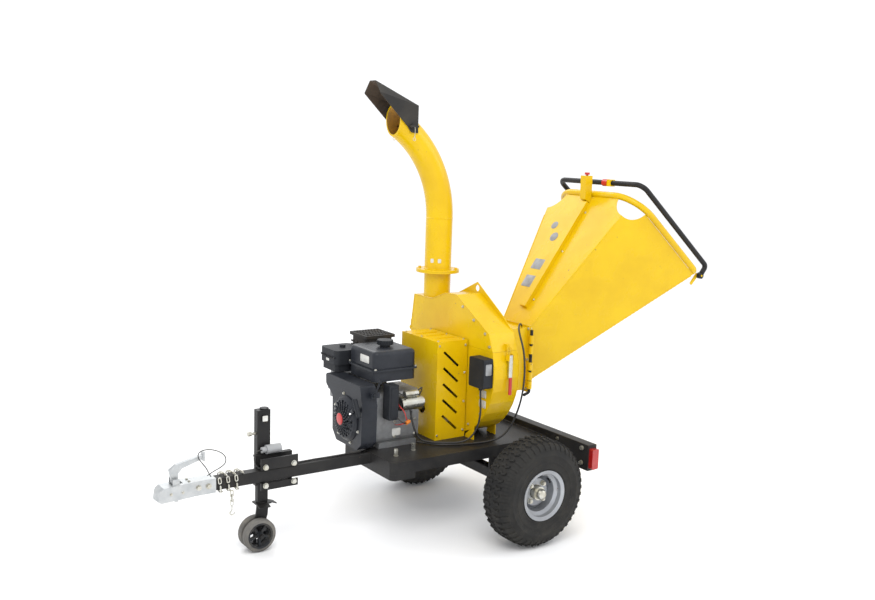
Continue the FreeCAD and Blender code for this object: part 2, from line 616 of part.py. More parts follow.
def fuel_tank():
    """Two pressed halves with a seam lip all round and a filler neck."""
    low = rounded(box(-552, -328, 6, 240, 693, 742), 26, along(2))
    lip = rounded(box(-562, -318, -4, 250, 742, 750), 30, along(2))
    top = rounded(box(-552, -328, 6, 240, 750, 832), 26, along(2))
    upper = [e for e in top.Edges if min(v.Z for v in e.Vertexes) > 831]
    top = top.makeFillet(20, upper)
    neck = rod((-436, 112, 830), (-436, 112, 842), 24)
    return low.fuse([lip, top, neck])


def fuel_cap():
    cap = rod((-436, 112, 842.3), (-436, 112, 863), 36)
    grips = []
    for k in range(18):
        angle = 2 * pi * k / 18
        x, y = -436 + 36 * cos(angle), 112 + 36 * sin(angle)
        grips.append(rod((x, y, 842.3), (x, y, 860), 2.6))
    return cap.fuse(grips)


def air_cleaner():
    base = rounded(box(-606, -466, 262, 404, 694, 728), 18, along(2))
    cover = rounded(box(-614, -458, 254, 412, 728, 796), 24, along(2))
    knob = rod((-536, 333, 796), (-536, 333, 808), 14)
    return base.fuse([cover, knob])


def muffler():
    """A ribbed drum under a pierced sheet guard, with its outlet towards the right."""
    drum = rounded(box(-446, -296, 262, 412, 700, 838), 26, along(2))
    guard = rounded(box(-452, -290, 256, 418, 838, 852), 6, along(2))
    outlet = ring((-372, 412, 780), (-372, 436, 780), 16, 13)
    pipe_in = rod((-420, 305, 676.2), (-420, 305, 702), 18)
    return [drum.fuse([guard, pipe_in]), outlet]


def carburettor():
    body = box(-600, -552, 306, 352, 600, 660)
    bowl = rod((-576, 329, 566), (-576, 329, 600), 22)
    elbow = rod((-576, 329, 660), (-576, 329, 693.8), 20)
    flange = box(-552, -540.2, 306, 352, 604, 656)
    return body.fuse([bowl, elbow, flange])


def control_boxes():
    """The engine's ignition box on its left side and the stop-switch box on the rotor casing."""
    ignition = rounded(box(-507, -456, -56, 4.8, 528, 686), 8, along(2))
    lid = box(-500, -463, -59, -56, 540, 674)
    switch = rounded(box(-112, CASE_X0 - 0.2, -222, -108, 662, 800), 10, along(0))
    gland = rod((-84, -165, 646), (-84, -165, 662), 9)
    return [ignition.fuse(lid), switch.fuse(gland)]


def starter_motor():
    """The electric starter beside the crankcase, with its solenoid on top."""
    motor = rod((-436, -28, 590), (-326, -28, 590), 32)
    nose = rod((-326, -28, 590), (-314, -28, 590), 24)
    solenoid = rod((-420, -40, 636), (-350, -40, 636), 15)
    link = box(-400, -372, -36, -26, 610, 630)
    return motor.fuse([nose, solenoid, link])


def throttle_lever():
    plate_arm = plate([(-592, -62, 648), (-582, -62, 660), (-556, -62, 712), (-566, -62, 716)], (0, 4, 0))
    boss = rod((-586, -66, 652), (-586, -57, 652), 9)
    tip = rod((-561, -66, 712), (-561, -56, 712), 7)
    return plate_arm.fuse([boss, tip]).cut(rod((-586, -70, 652), (-586, -50, 652), 3 + RUN_FIT))


def throttle_bracket():
    arm = box(-600, -560, -56.5, -43, 640, 664)
    pin = rod((-586, -68, 652), (-586, -50, 652), 3)
    return arm.fuse(pin)


# ---------------------------------------------------------------- belt drive and rotor
PULLEY_X0, PULLEY_X1 = -152.0, -106.0
ROTOR_PULLEY_R = 95.0
CRANK_PULLEY_R = 55.0


def vee_pulley(z, radius, bore):
    """A pulley with two vee grooves."""
    width = PULLEY_X1 - PULLEY_X0
    profile = [(bore, 0), (radius, 0)]
    for groove in range(2):
        middle = width * (0.27 + 0.46 * groove)
        profile += [(radius, middle - 8), (radius - 11, middle - 4.5), (radius - 11, middle + 4.5),
                    (radius, middle + 8)]
    profile += [(radius, width), (bore, width)]
    return turned(profile, (PULLEY_X0, ROTOR_Y, z), (1, 0, 0))


def crank_pulley():
    shaft = rod((-342, ROTOR_Y, CRANK_Z), (PULLEY_X1, ROTOR_Y, CRANK_Z), 12.5)
    return vee_pulley(CRANK_Z, CRANK_PULLEY_R, 12.0).fuse(shaft)


def belt_loop(x0, x1, grow):
    """The convex band round both pulleys, from their rims out to grow."""
    low, high = CRANK_PULLEY_R + grow, ROTOR_PULLEY_R + grow
    lean = (high - low) / (ROTOR_Z - CRANK_Z)
    side = sqrt(1 - lean * lean)
    quad = [(-low * side, CRANK_Z - low * lean), (low * side, CRANK_Z - low * lean),
            (high * side, ROTOR_Z - high * lean), (-high * side, ROTOR_Z - high * lean)]
    web = plate([(x0, ROTOR_Y + y, z) for y, z in quad], (x1 - x0, 0, 0))
    return web.fuse([rod((x0, ROTOR_Y, CRANK_Z), (x1, ROTOR_Y, CRANK_Z), low),
                     rod((x0, ROTOR_Y, ROTOR_Z), (x1, ROTOR_Y, ROTOR_Z), high)])


def drive_belts():
    belts = []
    for groove in range(2):
        middle = PULLEY_X0 + (PULLEY_X1 - PULLEY_X0) * (0.27 + 0.46 * groove)
        belts.append(belt_loop(middle - 6, middle + 6, 6.0).cut(belt_loop(middle - 7, middle + 7, 0.4)))
    return belts


def belt_guard():
    """Four plates: front, slotted left side, right side and lid, open towards the casing."""
    x0, x1, y0, y1, z1 = -233.0, -62.0, -23.0, 286.0, 857.0
    t = 2.5
    front = box(x0, x0 + t, y0, y1, TRAY_TOP, z1 - t)
    front = front.cut(rod((x0 - 1, ROTOR_Y, CRANK_Z), (x0 + 5, ROTOR_Y, CRANK_Z), 28))
    left = box(x0 + t, x1, y0, y0 + t, TRAY_TOP, z1 - t)
    for k in range(5):
        z = 770 - 76 * k
        slot = plate([(-200, y0 - 1, z + 34), (-192, y0 - 1, z + 42), (-108, y0 - 1, z - 32),
                      (-116, y0 - 1, z - 40)], (0, t + 2, 0))
        left = left.cut(slot)
    right = box(x0 + t, x1, y1 - t, y1, TRAY_TOP, z1 - t)
    lid = box(x0, x1, y0, y1, z1 - t, z1)
    return [front, left, right, lid]


def rotor_shaft():
    shaft = rod((-216, ROTOR_Y, ROTOR_Z), (44, ROTOR_Y, ROTOR_Z), SHAFT_R)
    return vee_pulley(ROTOR_Z, ROTOR_PULLEY_R, SHAFT_R - 1).fuse(shaft)


def rotor_disc():
    """The flywheel disc with its hub and four fan paddles on the front face."""
    centre = (0, ROTOR_Y, ROTOR_Z)
    disc = ring((20, centre[1], centre[2]), (40, centre[1], centre[2]), DISC_R, SHAFT_R + 0.2)
    collar = ring((-20, centre[1], centre[2]), (20, centre[1], centre[2]), 45, SHAFT_R + 0.2)
    paddles = []
    for k in range(4):
        paddle = box(-42, 20, -4, 4, 110, DISC_R - 4)
        paddle.rotate(V(0, 0, 0), V(1, 0, 0), 90 * k + 22)
        paddle.translate(V(*centre))
        paddles.append(paddle)
    return disc.fuse([collar] + paddles)


def knives():
    """Three chipping knives on the rear face of the disc."""
    blades = []
    for k in range(3):
        blade = plate([(40.2, -22, 70), (40.2, 30, 70), (50, 30, 70), (54, -22, 70)], (0, 0, 180))
        blade.rotate(V(0, 0, 0), V(1, 0, 0), 120 * k + 50)
        blade.translate(V(0, ROTOR_Y, ROTOR_Z))
        blades.append(blade)
    return blades


def rotor_bearings():
    """Two flanged bearings ahead of the disc, one on the casing and one on a pedestal in the guard."""
    near = ring((CASE_X0 - 38, ROTOR_Y, ROTOR_Z), (CASE_X0 - 0.2, ROTOR_Y, ROTOR_Z), 46, SHAFT_R + RUN_FIT)
    foot = rounded(box(CASE_X0 - 14, CASE_X0 - 0.2, ROTOR_Y - 62, ROTOR_Y + 62, ROTOR_Z - 62, ROTOR_Z + 62), 14,
                   along(0))
    near = near.fuse(foot.cut(rod((-100, ROTOR_Y, ROTOR_Z), (-50, ROTOR_Y, ROTOR_Z), SHAFT_R + RUN_FIT)))
    pedestal = box(-204, -196, ROTOR_Y - 55, ROTOR_Y + 55, TRAY_TOP, ROTOR_Z + 55)
    pedestal = pedestal.fuse(rod((-212, ROTOR_Y, ROTOR_Z), (-180, ROTOR_Y, ROTOR_Z), 42))
    pedestal = pedestal.cut(rod((-220, ROTOR_Y, ROTOR_Z), (-170, ROTOR_Y, ROTOR_Z), SHAFT_R + RUN_FIT))
    pedestal = pedestal.cut(rod((-220, ROTOR_Y, CRANK_Z), (-170, ROTOR_Y, CRANK_Z), 24))
    return [near, pedestal]


# ---------------------------------------------------------------- rotor casing and hood
HOOD_GAP = 0.8
WINDOW_Y = 99.0
WINDOW_Z0, WINDOW_Z1 = 606.0, 900.0


def arc_points(cy, cz, radius, start, end, count):
    angles = [radians(start + (end - start) * k / count) for k in range(count + 1)]
    return [(cy + radius * cos(a), cz + radius * sin(a)) for a in angles]


def scroll_outline():
    """The lower casing's rim from the right split line, under the rotor, to the left split line."""
    base = ROTOR_Z - CASE_R
    far = arc_points(ROTOR_Y, base + CASE_R_FAR, CASE_R_FAR, 0, -90, 8)
    near_end = 180 - 360 + 0
    lift = atan2(SPLIT_Z - ROTOR_Z, sqrt(CASE_R ** 2 - (SPLIT_Z - ROTOR_Z) ** 2)) * 180 / pi
    near = arc_points(ROTOR_Y, ROTOR_Z, CASE_R, -90, near_end - lift, 10)
    return [(ROTOR_Y + CASE_R_FAR, SPLIT_Z)] + far + near[1:]


def casing_lower():
    """Front plate, rear plate in four pieces round the feed window, rim plates and two foot lugs."""
    outline = scroll_outline()
    rising = list(reversed(outline))
    front = plate([(CASE_X0, y, z) for y, z in outline], (SHEET, 0, 0))
    front = front.cut(rod((CASE_X0 - 1, ROTOR_Y, ROTOR_Z), (CASE_X0 + 9, ROTOR_Y, ROTOR_Z), SHAFT_R + 3))
    rear = plate([(CASE_X1 - SHEET, y, z) for y, z in outline], (SHEET, 0, 0))
    x0, x1 = CASE_X1 - 10, CASE_X1 + 10
    parts = [rear.common(box(x0, x1, -400, -WINDOW_Y, 300, 900)),
             rear.common(box(x0, x1, WINDOW_Y, 600, 300, 900)),
             rear.common(box(x0, x1, -WINDOW_Y, WINDOW_Y, 300, WINDOW_Z0))]
    above = box(-100, 100, -400, 600, SPLIT_Z, 1000)
    wall = [strip.cut(above) for strip in sheet_strips(rising, SHEET, CASE_X0 + SHEET, CASE_X1 - SHEET)]
    feet = [plate([(x, y, TRAY_TOP), (x, y + 66, TRAY_TOP), (x, y + 60, 404), (x, y + 8, 448), (x, y, 448)],
                  (5, 0, 0)) for x, y in ((CASE_X0 - 5.2, -96), (CASE_X1 + 0.2, -70))]
    return [front] + parts + wall + feet


HOOD_FRONT = [(477, 828), (450, 1008), (290, 1008), (180, 1050), (85, 1055), (-178, 908), (-212, 828)]
HOOD_REAR = [(477, 828), (450, 1008), (290, 1022), (111, 1106), (-95, 974), (-178, 908), (-212, 828)]
EYE_Y, EYE_Z, EYE_R = 109.0, 1076.0, 16.0
HOOD_HINGE_Y, HOOD_HINGE_Z = 492.0, 828.0


def casing_hood():
    """The upper casing: front plate, pierced rear plate with the lifting ear, rim plates and chute socket."""
    lift = [(y, max(z, SPLIT_Z + HOOD_GAP)) for y, z in HOOD_FRONT]
    rear_outline = [(y, max(z, SPLIT_Z + HOOD_GAP)) for y, z in HOOD_REAR]
    front = plate([(CASE_X0, y, z) for y, z in lift], (SHEET, 0, 0))
    pieces = [front.common(box(-100, 0, -400, 235, 700, 1200)), front.common(box(-100, 0, 235, 600, 700, 1200))]
    rear = plate([(CASE_X1 - SHEET, y, z) for y, z in rear_outline], (SHEET, 0, 0))
    rear = rear.cut(rod((CASE_X1 - 10, EYE_Y, EYE_Z), (CASE_X1 + 5, EYE_Y, EYE_Z), EYE_R))
    pieces.append(rear.common(box(0, 100, -400, -WINDOW_Y, 700, 1200)))
    pieces.append(rear.common(box(0, 100, -WINDOW_Y, WINDOW_Y, WINDOW_Z1, 1200)).fuse(
        rear.common(box(0, 100, WINDOW_Y, 600, 700, 1200))))
    below = box(-100, 100, -400, 600, 700, SPLIT_Z + HOOD_GAP)
    strips = [strip.cut(below) for strip in sheet_strips(lift, SHEET, CASE_X0 + SHEET, CASE_X1 - SHEET)]
    strips[1] = strips[1].cut(rod((CHUTE_X, CHUTE_Y, 990), (CHUTE_X, CHUTE_Y, 1020), 62.5))
    socket = ring((CHUTE_X, CHUTE_Y, 1008), (CHUTE_X, CHUTE_Y, FLANGE_Z), CHUTE_R, 62.5)
    socket = socket.fuse(ring((CHUTE_X, CHUTE_Y, FLANGE_Z - 8), (CHUTE_X, CHUTE_Y, FLANGE_Z), FLANGE_R, 62.5))
    chute_foot = (CHUTE_X, CHUTE_Y, 1008)
    pieces += strips[:1] + strips[2:]
    pieces += sectors(strips[1], chute_foot, V(0, 0, 1), 6) + sectors(socket, chute_foot, V(0, 0, 1), 6)
    for x in (-50, 60):
        leaf = box(x, x + 20, 477.3, 484, SPLIT_Z + 12, SPLIT_Z + 40)
        knuckle = ring((x, HOOD_HINGE_Y, HOOD_HINGE_Z), (x + 20, HOOD_HINGE_Y, HOOD_HINGE_Z), 11, 5 + RUN_FIT)
        arm = box(x, x + 20, 484, HOOD_HINGE_Y, SPLIT_Z + 8.9, SPLIT_Z + 40)
        pieces.append(leaf.fuse([arm.cut(rod((x, HOOD_HINGE_Y, HOOD_HINGE_Z), (x + 20, HOOD_HINGE_Y, HOOD_HINGE_Z),
                                             8)), knuckle]))
    catch = plate([(16, -222, SPLIT_Z + 8), (16, -222, SPLIT_Z + 34), (16, -197.8, SPLIT_Z + 34),
                   (16, -208.8, SPLIT_Z + 8)], (18, 0, 0))
    pieces.append(catch.cut(strips))
    return pieces


def hood_hinge():
    """The fixed halves of the hood hinge and their pin."""
    pieces = []
    for x in (-26, 36):
        knuckle = ring((x, HOOD_HINGE_Y, HOOD_HINGE_Z), (x + 20, HOOD_HINGE_Y, HOOD_HINGE_Z), 11, 4.9)
        arm = box(x, x + 20, 477.2, HOOD_HINGE_Y, SPLIT_Z - 44, SPLIT_Z - 9)
        pieces.append(knuckle.fuse(arm.cut(rod((x - 1, HOOD_HINGE_Y, HOOD_HINGE_Z),
                                               (x + 21, HOOD_HINGE_Y, HOOD_HINGE_Z), 8))))
    pin = rod((-54, HOOD_HINGE_Y, HOOD_HINGE_Z), (84, HOOD_HINGE_Y, HOOD_HINGE_Z), 5)
    return pieces[0].fuse([pieces[1], pin])


LATCH_Z = 806.0
LATCH_Y = -240.0


def latch_base():
    """Two ears on the casing's left side, the latch pin and the wire bail that reaches up to the catch."""
    ears = [box(x, x + 4, LATCH_Y - 8, -223.6, LATCH_Z - 18, LATCH_Z + 12) for x in (10, 36)]
    pin = rod((10, LATCH_Y, LATCH_Z), (40, LATCH_Y, LATCH_Z), 4)
    bail = pipe([(12, -232, LATCH_Z + 11), (12, -227, LATCH_Z + 44), (38, -227, LATCH_Z + 44),
                 (38, -232, LATCH_Z + 11)], 2.0, 6)[0]
    return ears[0].fuse([ears[1], pin, bail])


def latch_lever():
    """The toggle latch: a bright pressed body, and the red handle below."""
    body = rounded(box(15, 35, LATCH_Y - 7, LATCH_Y + 7, LATCH_Z - 96, LATCH_Z + 9), 3, along(2))
    body = body.cut(rod((10, LATCH_Y, LATCH_Z), (40, LATCH_Y, LATCH_Z), 4 + RUN_FIT))
    handle = rounded(box(17, 33, LATCH_Y - 12, LATCH_Y, LATCH_Z - 176, LATCH_Z - 96), 5, along(2))
    return body.fuse(handle)


# ---------------------------------------------------------------- feed box, hopper and its hinge
def feed_box():
    """A square duct from the casing to the hopper, with a rear flange, two knuckles and the anvil."""
    x0, x1 = CASE_X1 + 0.4, HINGE_X - 1
    y, z0, z1, t = 104.0, 600.0, 905.0, 5.0
    walls = [box(x0, x1, -y, -y + t, z0, z1), box(x0, x1, y - t, y, z0, z1),
             box(x0, x1, -y + t, y - t, z0, z0 + t), box(x0, x1, -y + t, y - t, z1 - t, z1)]
    fx0 = x1 - 6
    walls += [box(fx0, x1, -y - 10, -y, z0 - 10, z1 + 10), box(fx0, x1, y, y + 10, z0 - 10, z1 + 10),
              box(fx0, x1, -y, y, z0 - 10, z0), box(fx0, x1, -y, y, z1, z1 + 10)]
    anvil = box(60, x0 - 0.2, -WINDOW_Y + 2, WINDOW_Y - 2, WINDOW_Z0 + 0.2, WINDOW_Z0 + 10)
    for z in (650, 830):
        knuckle = ring((HINGE_X, HINGE_Y, z), (HINGE_X, HINGE_Y, z + 40), 12, 7 + RUN_FIT)
        arm = box(HINGE_X - 7, HINGE_X - 1, HINGE_Y, -y - 10, z, z + 40)
        walls.append(knuckle.fuse(arm.cut(rod((HINGE_X, HINGE_Y, z - 1), (HINGE_X, HINGE_Y, z + 41), 8))))
    return walls + [anvil]


def hinge_rod():
    """The long hinge pin, bent over at its foot to make a pull handle."""
    points = [(HINGE_X, HINGE_Y, 896), (HINGE_X, HINGE_Y, 590), (HINGE_X - 34, HINGE_Y - 2, 580)]
    return pipe(points, 7.0, 12)[0]


def mouth_frame():
    """Unit vectors of the mouth: up its slope, and straight out of it."""
    slope = (MOUTH_HIGH - MOUTH_LOW).normalize()
    out = V(-slope.z, 0, slope.x) * -1
    return slope, out


def funnel_corners(inset):
    """The eight corners of the funnel's outer skin, the mouth moved back by inset along the funnel."""
    low, high = MOUTH_LOW, MOUTH_HIGH
    throat_low, throat_high = V(THROAT_X, 0, THROAT_LOW), V(THROAT_X, 0, THROAT_HIGH)
    corners = {}
    for side in (-1, 1):
        for name, mouth, throat, width in (("low", low, throat_low, THROAT_LOW_W),
                                           ("high", high, throat_high, THROAT_HIGH_W)):
            outer = V(mouth.x, side * MOUTH_W, mouth.z)
            inner = V(throat.x, side * width, throat.z)
            way = (inner - outer).normalize()
            corners[side, name, "mouth"] = outer + way * inset[name]
            corners[side, name, "throat"] = inner
    return corners


def panel(points, thickness, towards):
    """A flat sheet on four corners, thickened towards a point inside."""
    face = Part.Face(Part.makePolygon(points + [points[0]]))
    normal = (points[1] - points[0]).cross(points[2] - points[0]).normalize()
    if normal.dot(towards - points[0]) < 0:
        normal = normal * -1
    return face.extrude(normal * thickness)


def mouth_insets():
    """How far back each edge stops, so that the skin ends on the rim tube."""
    slope, out = mouth_frame()
    insets = {}
    for name, mouth, z, width in (("low", MOUTH_LOW, THROAT_LOW, THROAT_LOW_W),
                                  ("high", MOUTH_HIGH, THROAT_HIGH, THROAT_HIGH_W)):
        way = V(THROAT_X, width, z) - V(mouth.x, MOUTH_W, mouth.z)
        way.normalize()
        insets[name] = (RIM_R + 1.0) / abs(way.dot(out))
    return insets


def hopper():
    """Four flat panels with scalloped upper corners, the throat flange, the cable duct and its bracket."""
    thickness = 2.0
    corners = funnel_corners(mouth_insets())
    centre = V(600, 0, 1050)
    ring_order = [("low", "mouth"), ("high", "mouth"), ("high", "throat"), ("low", "throat")]
    sides = [panel([corners[side, a, b] for a, b in ring_order], thickness, centre) for side in (-1, 1)]
    flats = []
    clear = V(0, 1.4 * thickness, 0)
    for name in ("low", "high"):
        points = [corners[-1, name, "mouth"] + clear, corners[1, name, "mouth"] - clear,
                  corners[1, name, "throat"] - clear, corners[-1, name, "throat"] + clear]
        flats.append(panel(points, thickness, centre))
    notches = [Part.makeSphere(112, V(MOUTH_HIGH.x, side * MOUTH_W, MOUTH_HIGH.z)) for side in (-1, 1)]
    skins = [sides[0].cut(notches[0]), sides[1].cut(notches[1]), flats[0], flats[1].cut(notches[0]).cut(notches[1])]
    return skins + throat_flange() + cable_duct() + bar_lugs() + hopper_knuckles()


def throat_flange():
    x0, x1 = HINGE_X + 1, THROAT_X - 0.2
    y, z0, z1 = 114.0, 590.0, 915.0
    hole = plate([(x0 - 1, -THROAT_LOW_W, THROAT_LOW), (x0 - 1, THROAT_LOW_W, THROAT_LOW),
                  (x0 - 1, THROAT_HIGH_W, THROAT_HIGH - 8), (x0 - 1, -THROAT_HIGH_W, THROAT_HIGH - 8)],
                 (x1 - x0 + 2, 0, 0))
    frame = box(x0, x1, -y, y, z0, z1).cut(hole)
    parts = [frame.common(box(x0, x1, -y, 0, z0, z1)), frame.common(box(x0, x1, 0, y, z0, z1))]
    return parts


def hopper_knuckles():
    pieces = []
    for z in (608, 700, 780):
        height = 38
        knuckle = ring((HINGE_X, HINGE_Y, z), (HINGE_X, HINGE_Y, z + height), 12, 7 + RUN_FIT)
        arm = box(HINGE_X + 1, HINGE_X + 7, HINGE_Y, -114.2, z, z + height)
        arm = arm.cut(rod((HINGE_X, HINGE_Y, z - 1), (HINGE_X, HINGE_Y, z + height + 1), 9))
        pieces.append(knuckle.fuse(arm))
    return pieces


def top_point(x, lift):
    """A point above the top panel's middle line, at a given x."""
    run = (MOUTH_HIGH.z - THROAT_HIGH) / (MOUTH_HIGH.x - THROAT_X)
    return V(x, 0, THROAT_HIGH + (x - THROAT_X) * run + lift)


def cable_duct():
    """The raised duct up the top panel and the bracket that stands at its upper end."""
    a, b = top_point(300, 0.3), top_point(672, 0.3)
    up = V(-(b - a).z, 0, (b - a).x).normalize() * 22
    duct = plate([(p.x, -14, p.z) for p in (a, b, b + up, a + up)], (0, 44, 0))
    base = top_point(676, 0.3)
    bracket = plate([(base.x, -10, base.z), (base.x - 30, -10, base.z + 18), (base.x - 34, -10, BRACKET_TOP),
                     (base.x + 12, -10, BRACKET_TOP), (base.x + 12, -10, base.z + 18)], (0, 38, 0))
    hole = rod((base.x - 8, 9, BRACKET_TOP - 20), (base.x - 8, 9, BRACKET_TOP + 1), 7)
    return [duct, bracket.cut(hole)]


def bar_lugs():
    """Two lugs under the mouth's lower corners with the pins that the safety bar swings on."""
    slope, out = mouth_frame()
    pivot = bar_pivot()
    lugs = []
    for side in (-1, 1):
        y = side * (MOUTH_W - 26)
        back = pivot - out * 60 + slope * 2
        points = [pivot - slope * 12 + out * 8, pivot + slope * 8 + out * 8, back + slope * 6, back - slope * 8]
        lug = plate([(p.x, y, p.z) for p in points], (0, side * 6, 0))
        pin = rod((pivot.x, y, pivot.z), (pivot.x, side * (MOUTH_W + 14), pivot.z), 5)
        lugs.append(lug.fuse(pin))
    return lugs


def rounded_loop(points, radii):
    """A closed flat loop of straight runs and arcs, one radius for each corner."""
    count = len(points)
    edges, marks = [], []
    for k in range(count):
        before, corner, after = points[k - 1], points[k], points[(k + 1) % count]
        back, ahead = (before - corner).normalize(), (after - corner).normalize()
        turn = pi - back.getAngle(ahead)
        cut = radii[k] * tan(turn / 2)
        middle = corner + (back + ahead).normalize() * (radii[k] / cos(turn / 2) - radii[k])
        marks.append((corner + back * cut, middle, corner + ahead * cut))
    for k, (first, middle, last) in enumerate(marks):
        edges.append(Part.Arc(first, middle, last).toShape())
        edges.append(Part.LineSegment(last, marks[(k + 1) % count][0]).toShape())
    return Part.Wire(edges), (marks[0][2] + marks[1][0]) * 0.5, (marks[1][0] - marks[0][2]).normalize()


def hopper_rim():
    """The rim tube: large arcs at the upper corners, small ones at the lower corners."""
    points = [V(p.x, side * MOUTH_W, p.z) for p, side in
              ((MOUTH_LOW, -1), (MOUTH_LOW, 1), (MOUTH_HIGH, 1), (MOUTH_HIGH, -1))]
    wire, start, way = rounded_loop(points, [40, 40, 150, 150])
    edges = wire.Edges[1:] + wire.Edges[:1]
    loop = Part.Wire([Part.LineSegment(start, edges[0].Vertexes[1].Point).toShape()] + edges[1:]
                     + [Part.LineSegment(edges[0].Vertexes[0].Point, start).toShape()])
    return swept(loop, start, way, RIM_R).cut(swept(loop, start, way, RIM_R - TUBE_WALL))


BAR_OUT = 62.0
BRACKET_TOP = 1630.0


def bar_pivot():
    slope, out = mouth_frame()
    return MOUTH_LOW - slope * 34 + out * 6


def safety_bar():
    """The black bail: up both sides of the mouth and across its top, with a red sleeve and a square collar."""
    slope, out = mouth_frame()
    pivot = bar_pivot()
    length = (MOUTH_HIGH - MOUTH_LOW).Length + 44
    low = pivot + out * BAR_OUT
    high = low + slope * length
    points = []
    for p, side in ((pivot + out * 16, -1), (low, -1), (high, -1), (high, 1), (low, 1), (pivot + out * 16, 1)):
        points.append((p.x, side * (MOUTH_W + 2), p.z))
    bend = 46
    bail = pipe(points, SAFETY_R, bend, SAFETY_R - TUBE_WALL)[0]
    eyes = []
    for side in (-1, 1):
        y = side * (MOUTH_W + 2)
        eye = rod((pivot.x, y - 10, pivot.z), (pivot.x, y + 10, pivot.z), 16)
        eyes.append(eye.cut(rod((pivot.x, y - 11, pivot.z), (pivot.x, y + 11, pivot.z), 5 + RUN_FIT)))
    bail = bail.fuse(eyes)
    sleeve = ring((high.x, -70, high.z), (high.x, -34, high.z), SAFETY_R + 5, SAFETY_R + 0.1)
    collar = box(high.x - 17, high.x + 17, -96, -72, high.z - 17, high.z + 17)
    collar = collar.cut(rod((high.x, -97, high.z), (high.x, -71, high.z), SAFETY_R + 0.1))
    return [bail, sleeve, collar]


def stop_button():
    """The red mushroom button on top of the duct bracket, its stem in the bracket's hole."""
    x, y, z = top_point(676, 0).x - 8, 9, BRACKET_TOP + 5
    return rod((x, y, z), (x, y, z + 11), 13).fuse(rod((x, y, z - 15), (x, y, z), 6))


# ---------------------------------------------------------------- chute and deflector
def chute_stave(start, end):
    """A slice of the chute's ring-shaped section, between two angles in degrees, lying at the flange."""
    def at(radius, angle):
        return V(CHUTE_X + radius * cos(radians(angle)), CHUTE_Y + radius * sin(radians(angle)), FLANGE_Z + 0.4)
    middle = (start + end) / 2
    edges = [Part.Arc(at(CHUTE_R, start), at(CHUTE_R, middle), at(CHUTE_R, end)).toShape(),
             Part.LineSegment(at(CHUTE_R, end), at(CHUTE_BORE, end)).toShape(),
             Part.Arc(at(CHUTE_BORE, end), at(CHUTE_BORE, middle), at(CHUTE_BORE, start)).toShape(),
             Part.LineSegment(at(CHUTE_BORE, start), at(CHUTE_R, start)).toShape()]
    return Part.Face(Part.Wire(edges))


def chute_tube():
    """The turning chute: spigot, flange, upright run and long bend, welded up from rolled strips."""
    foot = (CHUTE_X, CHUTE_Y, FLANGE_Z)
    up = V(0, 0, 1)
    spigot = ring((CHUTE_X, CHUTE_Y, FLANGE_Z - 30), (CHUTE_X, CHUTE_Y, FLANGE_Z + 0.4), 62.2, CHUTE_BORE)
    flange = ring((CHUTE_X, CHUTE_Y, FLANGE_Z + 0.4), (CHUTE_X, CHUTE_Y, FLANGE_Z + 8.4), FLANGE_R, CHUTE_R)
    pieces = sectors(spigot, foot, up, 6) + sectors(flange, foot, up, 6)
    p = DEFLECTOR_PIVOT
    pivot_hole = rod((p.x, 250, p.z), (p.x, 460, p.z), 5 + RUN_FIT)
    beyond = box(-900, CHUTE_END_X, 200, 500, 1500, 2200)
    bend_centre = V(CHUTE_X - BEND_R, CHUTE_Y, BEND_Z)
    for start in range(0, 360, 45):
        face = chute_stave(start, start + 45)
        rise = BEND_Z - FLANGE_Z - 0.4
        pieces.append(face.extrude(V(0, 0, rise)))
        face.translate(V(0, 0, rise))
        for _ in range(4):
            run = face.revolve(bend_centre, V(0, -1, 0), 18)
            pieces.append(run.cut(beyond).cut(pivot_hole))
            face.rotate(bend_centre, V(0, -1, 0), 18)
    for k in range(4):
        angle = radians(45 + 90 * k)
        x, y = CHUTE_X + 92 * cos(angle), CHUTE_Y + 92 * sin(angle)
        pieces.append(bolt((x, y, FLANGE_Z + 8.4), (0, 0, 1), 5, 6))
    return pieces


def deflector_shell(side_gap, drop, tip):
    """The outer or inner solid of the deflector: low at the pivot end and roofed at the tip."""
    half, roof = 74 - side_gap, 27 - side_gap * 0.4
    back_x, front_x = -176.0, -388.0 - tip
    back_z, side_z, top_z = 1938 - drop, 1990 - drop, 2044 - drop
    slope = (side_z - back_z) / (-388.0 - back_x)
    rise = (top_z - back_z) / (-388.0 - back_x)
    side_z = back_z + slope * (front_x - back_x)
    top_z = back_z + rise * (front_x - back_x)
    y = CHUTE_Y
    floor = 1700.0
    base = plate([(back_x + tip, y - half, floor), (front_x, y - half, floor), (front_x, y - half, side_z),
                  (back_x + tip, y - half, back_z + (back_x + tip - back_x) * slope)], (0, 2 * half, 0))
    a, b = V(front_x, y - half, side_z), V(front_x, y - roof, top_z)
    c, d = V(front_x, y + roof, top_z), V(front_x, y + half, side_z)
    e = V(back_x + tip, y - half, back_z + tip * slope)
    f = V(back_x + tip, y + half, back_z + tip * slope)
    faces = [[a, b, c, d], [a, e, b], [b, e, f, c], [c, f, d], [a, d, f, e]]
    roof_solid = Part.Solid(Part.Shell([Part.Face(Part.makePolygon(g + [g[0]])) for g in faces]))
    if roof_solid.Volume < 0:
        roof_solid.reverse()
    return base.fuse(roof_solid)


